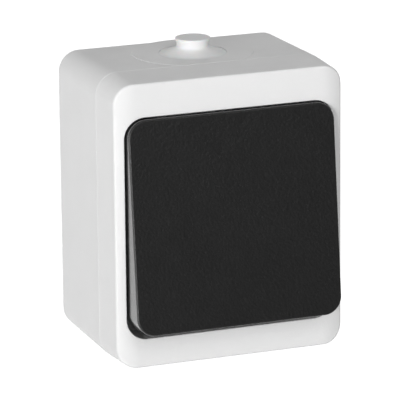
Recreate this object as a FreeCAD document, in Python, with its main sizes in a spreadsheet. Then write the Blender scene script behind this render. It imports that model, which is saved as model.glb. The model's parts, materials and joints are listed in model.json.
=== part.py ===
import FreeCAD, Part
import math
import os
import Sketcher

# Weatherproof rocker switch for an outside wall, in millimetres.
# The origin is the centre of the back face. +X is to the right as seen from the front, +Y goes
# into the wall and +Z is up, so "depth" below is measured from the wall towards the front (-Y).

SIZES = {
    # Box: the seam between base and cover is its widest outline, and both parts taper from it
    "seam_width": 66.0,
    "seam_height": 79.0,
    "corner_radius": 6.1,
    "base_depth": 31.0,
    "cover_depth": 13.2,
    "base_draft": 0.75,
    "cover_draft": 2.6,
    "base_wall": 2.3,
    "cover_wall": 2.3,
    "back_thickness": 2.5,
    "seam_bevel": 0.12,
    # Front of the cover: flat from top to bottom, rolled back along its two sides
    "roll_width": 6.0,
    "roll_radius": 15.3,
    "roll_overrun": 0.5,
    "front_edge_radius": 0.4,
    # Well that the rocker sits in
    "frame_side": 3.25,
    "frame_end": 9.15,
    "opening_radius": 6.4,
    "opening_edge_radius": 0.25,
    "opening_drop": 0.65,
    "well_depth": 8.8,
    "well_wall": 1.8,
    "floor_thickness": 2.0,
    "hollow_roof": 2.0,
    "hollow_half_width": 25.0,
    "hollow_radius": 1.2,
    "hollow_rib": 1.4,
    # Seam: groove in the base, rubber cord in it, tongue of the cover on the cord
    "groove_width": 1.1,
    "groove_depth": 1.6,
    "tongue_length": 0.7,
    "seam_fit": 0.06,
    # Cable entry: round boss on the top wall, cut off by the seam, with a sunk ring for the seal
    "entry_setback": 14.0,
    "boss_back_gap": 0.7,
    "boss_rise": 0.05,
    "boss_draft": 45.0,
    "ring_radius": 9.2,
    "ring_sink": 0.45,
    "entry_bore_radius": 6.5,
    "entry_fit": 0.05,
    "cone_foot_radius": 8.7,
    "cone_foot_height": 0.3,
    "cone_height": 2.0,
    "cone_top_radius": 4.2,
    "stub_foot_radius": 3.85,
    "stub_top_radius": 4.6,
    "stub_height": 2.6,
    "stub_bevel": 0.3,
    "stub_bore_radius": 2.8,
    "stub_roof": 1.1,
    "collar_radius": 8.0,
    "collar_height": 1.6,
    # Thinned ring in the bottom wall, for a second entry
    "knockout_radius": 8.6,
    "knockout_groove": 0.8,
    "knockout_cut": 1.2,
    # Wall fixing
    "wall_hole_radius": 2.2,
    "wall_hole_inset_across": 19.0,
    "wall_hole_inset_up": 10.5,
    "wall_boss_radius": 4.6,
    "wall_boss_height": 1.0,
    "back_relief": 0.8,
    "back_rim": 4.5,
    # Cover screws, in pillars of the base at two opposite corners behind the rocker
    "cover_screw_inset": 8.15,
    "pillar_radius": 3.4,
    "pillar_side_gap": 0.2,
    "pillar_gap": 0.05,
    "pillar_web": 1.4,
    "web_height": 21.0,
    "cover_screw_radius": 1.5,
    "cover_screw_length": 15.0,
    "cover_screw_head_radius": 3.0,
    "cover_screw_head_height": 2.0,
    "cover_screw_fit": 0.3,
    "screw_seal_thickness": 0.8,
    "recess_width": 0.7,
    "recess_length": 2.8,
    "recess_depth": 1.1,
    "thread_fit": 0.03,
    # Rocker: gaps to its opening, tilt each way, and the place of its pivot behind its face
    "side_gap": 0.75,
    "end_gap": 1.35,
    "rocker_radius": 5.9,
    "rocker_tilt": 5.9,
    "pivot_setback": 12.0,
    "pivot_rise": 1.0,
    "rocker_plate": 2.2,
    "rocker_wall": 1.8,
    "rocker_edge_radius": 0.8,
    "skirt_depth": 9.2,
    "ring_wall": 1.4,
    "rocker_rib_width": 1.0,
    "rocker_rib_height": 1.2,
    "rocker_rib_place": 19.0,
    # Cradle that the rocker clips to, with its two trunnions and the stem for the plunger
    "cradle_front": 6.0,
    "cradle_plate": 2.0,
    "cradle_height": 30.0,
    "cheek_thickness": 2.2,
    "cheek_radius": 2.9,
    "trunnion_radius": 1.9,
    "trunnion_length": 2.7,
    "trunnion_fit": 0.05,
    "stem_radius": 3.2,
    "stem_reach": 12.0,
    "stem_bore_radius": 1.9,
    "stem_cap": 1.5,
    "cradle_web": 1.2,
    "seat_inset": 2.4,
    "hook_width": 5.0,
    "hook_place": 8.0,
    "hook_thickness": 1.2,
    "hook_fit": 0.1,
    "barb_reach": 0.5,
    "barb_height": 1.2,
    # Plunger and its spring
    "plunger_fit": 0.08,
    "plunger_guide": 7.0,
    "plunger_tip_radius": 1.5,
    "plunger_gap": 0.1,
    "spring_turns": 5.0,
    "spring_wire_sides": 8,
    "spring_radius": 1.4,
    "spring_wire_radius": 0.24,
    # Head of the mechanism, which stands in the aperture of the cover's floor
    "head_step": 2.0,
    "head_inset": 0.4,
    "head_radius": 1.5,
    "head_proud": 0.5,
    "ear_play": 0.4,
    "ear_thickness": 2.8,
    "ear_radius": 3.2,
    "head_pocket_height": 9.0,
    "head_pocket_depth": 3.4,
    "stem_slot_width": 9.0,
    "stem_slot_height": 11.0,
    "flange_thickness": 1.5,
    "flange_overlap": 1.5,
    "spigot_length": 2.0,
    "spigot_fit": 0.2,
    # Rubber frame between the head and the edge of the aperture
    "seal_width": 1.0,
    "seal_lip": 1.5,
    "seal_lip_thickness": 0.9,
    "seal_fit": 0.05,
    # Housing of the mechanism
    "housing_side_room": 15.0,
    "housing_depth": 21.2,
    "housing_radius": 1.5,
    "housing_wall": 1.6,
    "housing_back": 1.8,
    "housing_setback": 3.2,
    "blade_end_play": 1.4,
    "bay_height": 6.9,
    "lug_reach": 7.4,
    "lug_height": 8.0,
    "lug_thickness": 2.0,
    "lug_setback": 3.6,
    "post_radius": 3.0,
    "post_gap": 1.2,
    "mechanism_screw_radius": 1.4,
    "mechanism_screw_length": 9.0,
    "mechanism_screw_head_radius": 2.6,
    "mechanism_screw_head_height": 1.8,
    "wire_door_width": 6.4,
    "wire_door_height": 6.0,
    "bay_divider": 1.2,
    # See-saw blade, its knife edge and the contacts
    "blade_axis_rise": 10.0,
    "blade_tilt": 8.0,
    "blade_width": 6.0,
    "blade_thickness": 0.8,
    "blade_half_length": 13.5,
    "blade_rise": 0.4,
    "blade_flange_height": 1.0,
    "blade_flange_length": 14.0,
    "blade_flange_thickness": 0.6,
    "knife_half_angle": 30.0,
    "knife_width": 9.2,
    "notch_half_angle": 45.0,
    "notch_gap": 0.03,
    "notch_rise": 1.0,
    "contact_radius": 1.5,
    "contact_height": 0.5,
    "contact_bevel": 0.3,
    "contact_place": 11.5,
    "fixed_contact_height": 0.4,
    "fixed_contact_drop": 2.4,
    # Brass strips, their screws and saddle washers
    "strip_thickness": 0.8,
    "strip_side_gap": 1.2,
    "strip_end_gap": 1.0,
    "strip_fit": 0.04,
    "strip_inner": 9.2,
    "common_rise": 4.0,
    "fork_inner": 3.4,
    "fork_thickness": 0.8,
    "fork_half_height": 2.2,
    "terminal_inset": 3.4,
    "terminal_screw_radius": 1.45,
    "terminal_screw_head_radius": 2.4,
    "terminal_screw_head_height": 1.8,
    "terminal_screw_tail": 2.4,
    "wire_gap": 1.5,
    "saddle_size": 5.8,
    "saddle_thickness": 1.0,
    # Earth through-terminal in its holder, beside the housing
    "earth_up": -14.5,
    "earth_width": 6.0,
    "earth_height": 7.0,
    "earth_length": 11.0,
    "earth_bore_radius": 1.7,
    "earth_bore_level": 2.6,
    "earth_screw_spacing": 5.6,
    "earth_screw_radius": 1.4,
    "earth_screw_head_radius": 2.0,
    "earth_screw_head_height": 1.4,
    "earth_holder_wall": 1.2,
    "earth_holder_height": 4.5,
    "earth_fit": 0.05,
}


class Size:
    """A size that carries its number and the expression that binds it to the sheet."""

    def __init__(self, number, text):
        self.number = float(number)
        self.text = text

    def __add__(self, other):
        other = as_size(other)
        return Size(self.number + other.number, f"({self.text} + {other.text})")

    def __sub__(self, other):
        other = as_size(other)
        return Size(self.number - other.number, f"({self.text} - {other.text})")

    def __mul__(self, other):
        other = as_size(other)
        return Size(self.number * other.number, f"({self.text} * {other.text})")

    def __truediv__(self, other):
        other = as_size(other)
        return Size(self.number / other.number, f"({self.text} / {other.text})")

    def __neg__(self):
        return Size(-self.number, f"(0 - {self.text})")

    def __radd__(self, other):
        return as_size(other) + self

    def __rsub__(self, other):
        return as_size(other) - self

    def __rmul__(self, other):
        return as_size(other) * self


def as_size(value):
    """Gives a plain number the form of a Size."""
    return value if isinstance(value, Size) else Size(value, repr(float(value)))


def tangent(angle):
    """Tangent of an angle in degrees."""
    return Size(math.tan(math.radians(angle.number)), f"tan({angle.text} * 1 deg)")


def sine(angle):
    """Sine of an angle in degrees."""
    return Size(math.sin(math.radians(angle.number)), f"sin({angle.text} * 1 deg)")


def cosine(angle):
    """Cosine of an angle in degrees."""
    return Size(math.cos(math.radians(angle.number)), f"cos({angle.text} * 1 deg)")


class Sheet:
    """The driving dimensions: each is a cell of the sheet and an attribute of this object."""

    def __init__(self, doc, sizes):
        self.cells = doc.addObject("Spreadsheet::Sheet", "Sizes")
        for row, (name, number) in enumerate(sizes.items(), start=1):
            self.cells.set(f"A{row}", name)
            self.cells.set(f"B{row}", str(number))
            self.cells.setAlias(f"B{row}", name)
            setattr(self, name, Size(number, f"Sizes.{name}"))


FRONT = "XZ_Plane"
SIDE = "YZ_Plane"
LEVEL = "XY_Plane"


def new_body(name):
    """Adds the body of one sub-part."""
    body = doc.addObject("PartDesign::Body", name)
    body.Label = name
    if hasattr(body, "AllowCompound"):
        body.AllowCompound = True
    parts.append(body)
    return body


def new_sketch(body, plane, offset=0.0):
    """Adds a sketch parallel to an origin plane of the body, offset along that plane's normal.

    The normal of FRONT points to the front (-Y), that of SIDE to +X and that of LEVEL to +Z.
    """
    sketch = body.newObject("Sketcher::SketchObject", f"{body.Name}_sketch")
    support = next(item for item in body.Origin.OriginFeatures if item.Role == plane)
    sketch.AttachmentSupport = [(support, "")]
    sketch.MapMode = "FlatFace"
    offset = as_size(offset)
    sketch.AttachmentOffset = FreeCAD.Placement(FreeCAD.Vector(0, 0, offset.number), FreeCAD.Rotation())
    sketch.setExpression("AttachmentOffset.Base.z", offset.text)
    return sketch


def bind(sketch, kind, where, value):
    """Adds a dimension to a sketch and binds it to the sheet."""
    value = as_size(value)
    index = sketch.addConstraint(Sketcher.Constraint(kind, *where, value.number))
    name = f"{kind}_{index}"
    sketch.renameConstraint(index, name)
    sketch.setExpression(f"Constraints.{name}", value.text)


def place_point(sketch, geometry, position, point):
    """Binds one point of a sketch to its place, measured from the sketch's origin."""
    bind(sketch, "DistanceX", (-1, 1, geometry, position), point[0])
    bind(sketch, "DistanceY", (-1, 1, geometry, position), point[1])


def draw_circle(sketch, centre, radius):
    """Draws a circle."""
    centre = [as_size(value) for value in centre]
    radius = as_size(radius)
    middle = FreeCAD.Vector(centre[0].number, centre[1].number, 0)
    index = sketch.addGeometry(Part.Circle(middle, FreeCAD.Vector(0, 0, 1), radius.number), False)
    bind(sketch, "Radius", (index,), radius)
    place_point(sketch, index, 3, centre)


def draw_outline(sketch, points, arcs=None):
    """Draws a closed outline through points.

    arcs maps the number of a side to its radius: positive bulges to the right of the way that the
    outline runs, negative to the left.
    """
    arcs = arcs or {}
    points = [[as_size(value) for value in point] for point in points]
    flat = [FreeCAD.Vector(point[0].number, point[1].number, 0) for point in points]
    ends = []
    for number, start in enumerate(flat):
        finish = flat[(number + 1) % len(flat)]
        if number not in arcs:
            index = sketch.addGeometry(Part.LineSegment(start, finish), False)
            ends.append((index, 1, 2))
            continue
        radius = as_size(arcs[number])
        turn = 1 if radius.number > 0 else -1
        chord = finish - start
        rise = math.sqrt(max(radius.number ** 2 - (chord.Length / 2) ** 2, 0.0))
        across = FreeCAD.Vector(-chord.y, chord.x, 0).normalize()
        middle = (start + finish) * 0.5 + across * (turn * rise)
        first, last = (start, finish) if turn > 0 else (finish, start)
        angles = [math.atan2(end.y - middle.y, end.x - middle.x) for end in (first, last)]
        ring = Part.Circle(middle, FreeCAD.Vector(0, 0, 1), abs(radius.number))
        index = sketch.addGeometry(Part.ArcOfCircle(ring, *angles), False)
        bind(sketch, "Radius", (index,), radius if turn > 0 else -radius)
        ends.append((index, 1, 2) if turn > 0 else (index, 2, 1))
    for number, (index, _, finish) in enumerate(ends):
        after, start, _ = ends[(number + 1) % len(ends)]
        sketch.addConstraint(Sketcher.Constraint("Coincident", index, finish, after, start))
    for (index, start, _), point in zip(ends, points):
        place_point(sketch, index, start, point)


def draw_rectangle(sketch, width, height, centre=(0.0, 0.0)):
    """Draws a rectangle about a centre."""
    width, height = as_size(width), as_size(height)
    left, right = centre[0] - width / 2, centre[0] + width / 2
    low, high = centre[1] - height / 2, centre[1] + height / 2
    draw_outline(sketch, [(left, low), (right, low), (right, high), (left, high)])


def draw_rounded_rectangle(sketch, width, height, radius, centre=(0.0, 0.0)):
    """Draws a rectangle with four equal round corners, tangent to its sides."""
    width, height, radius = as_size(width), as_size(height), as_size(radius)
    left, low = centre[0] - width / 2, centre[1] - height / 2
    west, south = as_size(left).number, as_size(low).number
    east, north, bend = west + width.number, south + height.number, radius.number
    spots = [
        (west + bend, south), (east - bend, south), (east, south + bend), (east, north - bend),
        (east - bend, north), (west + bend, north), (west, north - bend), (west, south + bend),
    ]
    spots = [FreeCAD.Vector(x, y, 0) for x, y in spots]
    middles = [(east - bend, south + bend), (east - bend, north - bend),
               (west + bend, north - bend), (west + bend, south + bend)]
    sides, bends = [], []
    for number in range(4):
        side = Part.LineSegment(spots[2 * number], spots[2 * number + 1])
        sides.append(sketch.addGeometry(side, False))
        ring = Part.Circle(FreeCAD.Vector(*middles[number], 0), FreeCAD.Vector(0, 0, 1), bend)
        turn = math.radians(90 * (number - 1))
        bends.append(sketch.addGeometry(Part.ArcOfCircle(ring, turn, turn + math.pi / 2), False))
    for number in range(4):
        after = sides[(number + 1) % 4]
        sketch.addConstraint(Sketcher.Constraint("Tangent", sides[number], 2, bends[number], 1))
        sketch.addConstraint(Sketcher.Constraint("Tangent", bends[number], 2, after, 1))
        direction = "Horizontal" if number % 2 == 0 else "Vertical"
        sketch.addConstraint(Sketcher.Constraint(direction, sides[number]))
    for number in range(1, 4):
        sketch.addConstraint(Sketcher.Constraint("Equal", bends[0], bends[number]))
    bind(sketch, "Radius", (bends[0],), radius)
    bind(sketch, "DistanceX", (sides[3], 1, sides[1], 1), width)
    bind(sketch, "DistanceY", (sides[0], 1, sides[2], 1), height)
    bind(sketch, "DistanceX", (-1, 1, sides[3], 1), left)
    bind(sketch, "DistanceY", (-1, 1, sides[0], 1), low)


def extrude(body, kind, sketch, length, reverse, taper=None, both_ways=False):
    """Adds a pad or a pocket of a sketch to the body and recomputes it."""
    feature = body.newObject(f"PartDesign::{kind}", f"{body.Name}_{kind.lower()}")
    feature.Profile = sketch
    length = as_size(length)
    feature.Length = length.number
    feature.setExpression("Length", length.text)
    feature.Reversed = reverse
    feature.Midplane = both_ways
    if taper is not None:
        feature.TaperAngle = taper.number
        feature.setExpression("TaperAngle", taper.text)
    sketch.Visibility = False
    doc.recompute()
    return feature


def pad_forward(body, sketch, length, **options):
    """Adds material from the sketch along its normal."""
    return extrude(body, "Pad", sketch, length, False, **options)


def pad_backward(body, sketch, length, **options):
    """Adds material from the sketch against its normal."""
    return extrude(body, "Pad", sketch, length, True, **options)


def cut_backward(body, sketch, length, **options):
    """Removes material from the sketch against its normal."""
    return extrude(body, "Pocket", sketch, length, False, **options)


def cut_forward(body, sketch, length, **options):
    """Removes material from the sketch along its normal."""
    return extrude(body, "Pocket", sketch, length, True, **options)


def revolve(body, sketch):
    """Adds a full turn of a sketch about its vertical axis."""
    feature = body.newObject("PartDesign::Revolution", f"{body.Name}_turn")
    feature.Profile = sketch
    feature.ReferenceAxis = (sketch, ["V_Axis"])
    feature.Angle = 360.0
    sketch.Visibility = False
    doc.recompute()
    return feature


def mirror(body, features, role):
    """Mirrors features in an origin plane of the body."""
    plane = next(item for item in body.Origin.OriginFeatures if item.Role == role)
    feature = body.newObject("PartDesign::Mirrored", f"{body.Name}_mirror")
    feature.Originals = features
    feature.MirrorPlane = (plane, [""])
    body.Tip = feature
    doc.recompute()
    return feature


def work_edges(body, kind, measure, value, wanted):
    """Rounds or bevels those edges of the body that the function wanted picks by their geometry."""
    base = body.Tip
    names = [f"Edge{number}" for number, edge in enumerate(base.Shape.Edges, start=1) if wanted(edge)]
    feature = body.newObject(f"PartDesign::{kind}", f"{body.Name}_{kind.lower()}")
    feature.Base = (base, names)
    setattr(feature, measure, value.number)
    feature.setExpression(measure, value.text)
    doc.recompute()
    return feature


def round_edges(body, radius, wanted):
    """Rounds edges to a radius."""
    return work_edges(body, "Fillet", "Radius", radius, wanted)


def bevel_edges(body, width, wanted):
    """Bevels edges at 45 degrees."""
    return work_edges(body, "Chamfer", "Size", width, wanted)


def lies_at(edge, axis, place, tolerance=0.01):
    """Tells whether an edge lies wholly at one coordinate of one axis."""
    box = edge.BoundBox
    low, high = (box.XMin, box.YMin, box.ZMin)[axis], (box.XMax, box.YMax, box.ZMax)[axis]
    return abs(low - place) < tolerance and abs(high - place) < tolerance


def square_root(value):
    """Square root of a size."""
    return Size(math.sqrt(value.number), f"sqrt({value.text})")


def place_body(body, depth, level, angle=None):
    """Puts a body that is drawn about its own axis at that axis, turned about X by an angle."""
    turn = angle.number if angle is not None else 0.0
    spin = FreeCAD.Rotation(FreeCAD.Vector(1, 0, 0), turn)
    body.Placement = FreeCAD.Placement(FreeCAD.Vector(0, -depth.number, level.number), spin)
    body.setExpression("Placement.Base.y", (-depth).text)
    body.setExpression("Placement.Base.z", level.text)
    if angle is not None:
        body.setExpression("Placement.Rotation.Angle", f"{angle.text} * 1 deg")


def corners(across, up, middle=0.0):
    """Gives the four places at a distance across and up from a middle level."""
    return [(side * across, middle + end * up) for side in (-1, 1) for end in (-1, 1)]


doc = FreeCAD.newDocument("weatherproof_switch")
parts = []
size = Sheet(doc, SIZES)
doc.recompute()

# Levels and depths that several pieces share
front_depth = size.base_depth + size.cover_depth
floor_front = front_depth - size.well_depth
floor_back = floor_front - size.floor_thickness
axis_level = -size.opening_drop
pivot_depth = floor_front + size.pivot_rise
front_half_width = size.seam_width / 2 - size.cover_depth * tangent(size.cover_draft)
roll_reach = size.roll_width + size.roll_overrun
roll_rise = square_root(size.roll_radius * size.roll_radius - roll_reach * roll_reach)
roll_sag = size.roll_radius - roll_rise
opening_width = size.seam_width - 2 * size.frame_side
opening_height = size.seam_height - 2 * size.frame_end
housing_front = floor_back - size.housing_setback
housing_rear = housing_front - size.housing_depth
housing_width = size.seam_width - 2 * size.housing_side_room
chamber_half = size.blade_half_length + size.blade_end_play
chamber_height = 2 * chamber_half
partition_half = chamber_half + size.housing_wall
bay_half = partition_half + size.bay_height
housing_height = 2 * (bay_half + size.housing_wall)
lug_depth = housing_front - size.lug_setback
post_across = housing_width / 2 + size.post_radius + size.post_gap
head_front = floor_front + size.head_proud
bearing_width = housing_width - 2 * size.head_step
bearing_height = chamber_height - 2 * size.head_inset
cheek_outer = bearing_width / 2 - size.ear_thickness - size.ear_play
blade_axis_depth = housing_rear + size.blade_axis_rise
common_depth = housing_rear + size.common_rise
strip_front = blade_axis_depth - size.fixed_contact_drop
strip_back = strip_front - size.strip_thickness
strip_place = (housing_width - 2 * size.housing_wall) / 4
strip_width = strip_place - size.strip_side_gap
strip_end = bay_half - size.strip_end_gap
terminal_place = bay_half - size.terminal_inset
contact_level = size.contact_place * cosine(size.blade_tilt)
tab_reach = size.contact_radius + size.wire_gap
cover_screw_across = housing_width / 2 + size.pillar_radius + size.pillar_side_gap
cover_screw_up = opening_height / 2 - size.cover_screw_inset
wall_hole_across = size.seam_width / 2 - size.wall_hole_inset_across
wall_hole_up = size.seam_height / 2 - size.wall_hole_inset_up
earth_across = (housing_width + size.seam_width) / 4 - size.base_wall / 2
earth_floor = size.back_thickness
earth_top = earth_floor + size.earth_height
aperture_width = bearing_width + 2 * size.seal_width
aperture_height = bearing_height + 2 * size.seal_width
boss_level = size.seam_height / 2 + size.boss_rise
entry_depth = size.base_depth - size.entry_setback
boss_radius = entry_depth - size.boss_back_gap
base_slope = size.base_depth * tangent(size.base_draft)
ring_level = boss_level - size.ring_sink
rocker_width = opening_width - 2 * size.side_gap
rocker_height = opening_height - 2 * size.end_gap
cradle_back = size.cradle_front + size.cradle_plate
screw_places = [(-cover_screw_across, cover_screw_up),
                (cover_screw_across, -cover_screw_up)]
wall_places = corners(wall_hole_across, wall_hole_up)
post_places = [(-post_across, axis_level), (post_across, axis_level)]
terminal_places = [(as_size(0.0), axis_level + terminal_place),
                   (-strip_place, axis_level - terminal_place),
                   (strip_place, axis_level - terminal_place)]
earth_places = [(-earth_across, size.earth_up - size.earth_screw_spacing / 2),
                (-earth_across, size.earth_up + size.earth_screw_spacing / 2)]


def make_base_box():
    """Base: drafted box with the cable entry, the pillars, posts, wall holes and seam groove."""
    body = new_body("base_box")
    outer = new_sketch(body, FRONT, size.base_depth)
    draw_rounded_rectangle(outer, size.seam_width, size.seam_height, size.corner_radius)
    pad_backward(body, outer, size.base_depth, taper=-size.base_draft)
    bevel_edges(body, size.seam_bevel, lambda edge: lies_at(edge, 1, -size.base_depth.number))

    boss = new_sketch(body, LEVEL, boss_level)
    draw_circle(boss, (0, -entry_depth), boss_radius)
    pad_backward(body, boss, size.boss_rise + base_slope + size.boss_rise, taper=size.boss_draft)
    in_front = new_sketch(body, FRONT, size.base_depth)
    draw_rectangle(in_front, size.seam_width, 2 * (boss_level + size.boss_rise))
    cut_forward(body, in_front, 2 * boss_radius)

    inner_width = size.seam_width - 2 * size.base_wall
    inner_height = size.seam_height - 2 * size.base_wall
    cavity = new_sketch(body, FRONT, size.base_depth)
    draw_rounded_rectangle(cavity, inner_width, inner_height, size.corner_radius - size.base_wall)
    cut_backward(body, cavity, size.base_depth - size.back_thickness, taper=-size.base_draft)
    groove = new_sketch(body, FRONT, size.base_depth)
    draw_seam_ring(groove, size.groove_width)
    cut_backward(body, groove, size.groove_depth)

    ring = new_sketch(body, LEVEL, boss_level)
    draw_circle(ring, (0, -entry_depth), size.ring_radius)
    cut_backward(body, ring, size.ring_sink)
    bore = new_sketch(body, LEVEL, boss_level)
    draw_circle(bore, (0, -entry_depth), size.entry_bore_radius)
    cut_backward(body, bore, size.boss_rise + 2 * size.base_wall)
    knockout = new_sketch(body, LEVEL, -size.seam_height / 2)
    draw_circle(knockout, (0, -entry_depth), size.knockout_radius)
    draw_circle(knockout, (0, -entry_depth), size.knockout_radius - size.knockout_groove)
    cut_forward(body, knockout, size.knockout_cut)

    root = size.back_thickness / 2
    columns = new_sketch(body, FRONT, root)
    for place in screw_places:
        draw_circle(columns, place, size.pillar_radius)
    pad_forward(body, columns, floor_back - size.pillar_gap - root)
    for place, side in zip(screw_places, (-1, 1)):
        web = new_sketch(body, FRONT, root)
        wall_line = side * (size.seam_width - size.base_wall) / 2
        low, high = place[1] - size.pillar_web / 2, place[1] + size.pillar_web / 2
        draw_outline(web, [(place[0], low), (wall_line, low), (wall_line, high), (place[0], high)])
        pad_forward(body, web, size.web_height)
    posts = new_sketch(body, FRONT, root)
    for place in post_places:
        draw_circle(posts, place, size.post_radius)
    pad_forward(body, posts, lug_depth - size.lug_thickness - root)
    bosses = new_sketch(body, FRONT, root)
    for place in wall_places:
        draw_circle(bosses, place, size.wall_boss_radius)
    pad_forward(body, bosses, size.back_thickness + size.wall_boss_height - root)

    holder = new_sketch(body, FRONT, root)
    for side in (-1, 1):
        reach = size.earth_width / 2 + size.earth_fit + size.earth_holder_wall / 2
        middle = (-earth_across + side * reach, size.earth_up)
        draw_rectangle(holder, size.earth_holder_wall, size.earth_length, middle)
    pad_forward(body, holder, size.back_thickness + size.earth_holder_height - root)

    pilots = new_sketch(body, FRONT, floor_back)
    for place in screw_places:
        draw_circle(pilots, place, size.cover_screw_radius + size.thread_fit)
    cut_backward(body, pilots, size.cover_screw_length)
    post_pilots = new_sketch(body, FRONT, lug_depth)
    for place in post_places:
        draw_circle(post_pilots, place, size.mechanism_screw_radius + size.thread_fit)
    cut_backward(body, post_pilots, size.mechanism_screw_length + size.thread_fit)
    wall_holes = new_sketch(body, FRONT)
    for place in wall_places:
        draw_circle(wall_holes, place, size.wall_hole_radius)
    cut_forward(body, wall_holes, 2 * (size.back_thickness + size.wall_boss_height))

    relief = new_sketch(body, FRONT)
    shrink = 2 * (base_slope + size.back_rim)
    relief_radius = size.corner_radius - size.base_wall
    draw_rounded_rectangle(relief, size.seam_width - shrink, size.seam_height - shrink, relief_radius)
    for place in wall_places:
        draw_circle(relief, place, size.wall_boss_radius)
    cut_forward(body, relief, size.back_relief)
    return body


def draw_seam_ring(sketch, width):
    """Draws two outlines at equal distances from the middle line of the wall at the seam."""
    for side in (-1, 1):
        inset = (size.base_wall + side * width) / 2
        draw_rounded_rectangle(sketch, size.seam_width - 2 * inset, size.seam_height - 2 * inset,
                               size.corner_radius - inset)


def make_cable_grommet():
    """Entry seal: collar below the wall, neck, shallow cone and closed stub, turned in one piece."""
    body = new_body("cable_grommet")
    sketch = new_sketch(body, SIDE)
    neck = size.entry_bore_radius - size.entry_fit
    foot = ring_level + size.cone_foot_height
    cone_top = ring_level + size.cone_height
    stub_top = cone_top + size.stub_height
    bore_top = stub_top - size.stub_roof
    wall_under = size.seam_height / 2 - size.base_wall - base_slope
    under = wall_under - size.collar_height
    outline = [
        (size.stub_bore_radius, under),
        (size.collar_radius, under),
        (size.collar_radius, wall_under),
        (neck, wall_under),
        (neck, ring_level),
        (size.cone_foot_radius, ring_level),
        (size.cone_foot_radius, foot),
        (size.cone_top_radius, cone_top),
        (size.stub_foot_radius, cone_top),
        (size.stub_top_radius, stub_top - size.stub_bevel),
        (size.stub_top_radius - size.stub_bevel, stub_top),
        (0, stub_top),
        (0, bore_top),
        (size.stub_bore_radius, bore_top),
    ]
    draw_outline(sketch, outline)
    revolve(body, sketch)
    body.Placement = FreeCAD.Placement(FreeCAD.Vector(0, -entry_depth.number, 0), FreeCAD.Rotation())
    body.setExpression("Placement.Base.y", (-entry_depth).text)
    return body


def make_front_cover():
    """Cover: drafted frame, rolled back at its sides, with the rocker's well and its floor."""
    body = new_body("front_cover")
    outer = new_sketch(body, FRONT, size.base_depth)
    draw_rounded_rectangle(outer, size.seam_width, size.seam_height, size.corner_radius)
    pad_forward(body, outer, size.cover_depth, taper=-size.cover_draft)

    for side in (-1, 1):
        start = side * (front_half_width - size.roll_width)
        end = side * (front_half_width + size.roll_overrun)
        ahead = -(front_depth + size.roll_overrun)
        sketch = new_sketch(body, LEVEL)
        points = [(start, -front_depth), (end, roll_sag - front_depth), (end, ahead), (start, ahead)]
        draw_outline(sketch, points, arcs={0: side * size.roll_radius})
        cut_backward(body, sketch, 2 * size.seam_height, both_ways=True)
    round_edges(body, size.front_edge_radius, is_front_edge)
    bevel_edges(body, size.seam_bevel, lambda edge: lies_at(edge, 1, -size.base_depth.number))

    well = new_sketch(body, FRONT, front_depth)
    draw_rounded_rectangle(well, opening_width, opening_height, size.opening_radius,
                           (0, axis_level))
    cut_backward(body, well, size.well_depth)
    round_edges(body, size.opening_edge_radius, is_opening_edge)

    shell = new_sketch(body, FRONT, size.base_depth)
    draw_rounded_rectangle(shell, size.seam_width - 2 * size.cover_wall,
                           size.seam_height - 2 * size.cover_wall,
                           size.corner_radius - size.cover_wall)
    cut_forward(body, shell, floor_back - size.base_depth)
    frame_top = size.seam_height / 2 - size.cover_wall - size.cover_depth * tangent(size.cover_draft)
    well_half = opening_height / 2 + size.well_wall
    cell = (2 * size.hollow_half_width - 2 * size.hollow_rib) / 3
    hollows = new_sketch(body, FRONT, floor_back)
    for inner, outer_line in ((axis_level + well_half, frame_top), (axis_level - well_half, -frame_top)):
        middle = (inner + outer_line) / 2
        tall = outer_line - inner if inner.number > 0 else inner - outer_line
        for step in (-1, 0, 1):
            across = step * (cell + size.hollow_rib)
            draw_rounded_rectangle(hollows, cell, tall, size.hollow_radius, (across, middle))
    cut_forward(body, hollows, front_depth - size.hollow_roof - floor_back)

    aperture = new_sketch(body, FRONT, floor_front)
    draw_rounded_rectangle(aperture, aperture_width, aperture_height, size.head_radius,
                           (0, axis_level))
    for place in screw_places:
        draw_circle(aperture, place, size.cover_screw_radius + size.cover_screw_fit)
    cut_backward(body, aperture, 2 * size.floor_thickness)

    tongue = new_sketch(body, FRONT, size.base_depth + size.tongue_length)
    draw_seam_ring(tongue, size.groove_width - 2 * size.seam_fit)
    pad_backward(body, tongue, 2 * size.tongue_length)
    return body


def is_front_edge(edge):
    """Tells whether an edge belongs to the outer outline of the cover's front."""
    box = edge.BoundBox
    half_height = size.seam_height / 2 - 1.5 * (size.cover_depth * tangent(size.cover_draft))
    half_width = front_half_width - size.opening_edge_radius
    ahead = box.YMax < -(front_depth - roll_sag - size.front_edge_radius).number
    across = max(abs(box.XMin), abs(box.XMax)) > half_width.number
    level = max(abs(box.ZMin), abs(box.ZMax)) > half_height.number
    return ahead and (across or (level and box.XLength > 0.01))


def is_opening_edge(edge):
    """Tells whether an edge belongs to the front edge of the well."""
    box = edge.BoundBox
    slack = 0.05
    middle = axis_level.number
    across = max(abs(box.XMin), abs(box.XMax))
    up = max(abs(box.ZMin - middle), abs(box.ZMax - middle))
    half_width, half_height = opening_width.number / 2, opening_height.number / 2
    inside = across < half_width + slack and up < half_height + slack
    on_rim = across > half_width - size.opening_radius.number - slack
    return inside and on_rim and box.YMax < -(front_depth - roll_sag).number


def make_cover_gasket():
    """Rubber cord in the groove of the base."""
    body = new_body("cover_gasket")
    sketch = new_sketch(body, FRONT, size.base_depth - size.tongue_length)
    draw_seam_ring(sketch, size.groove_width - 2 * size.seam_fit)
    pad_backward(body, sketch, size.groove_depth - size.tongue_length)
    return body


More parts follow.
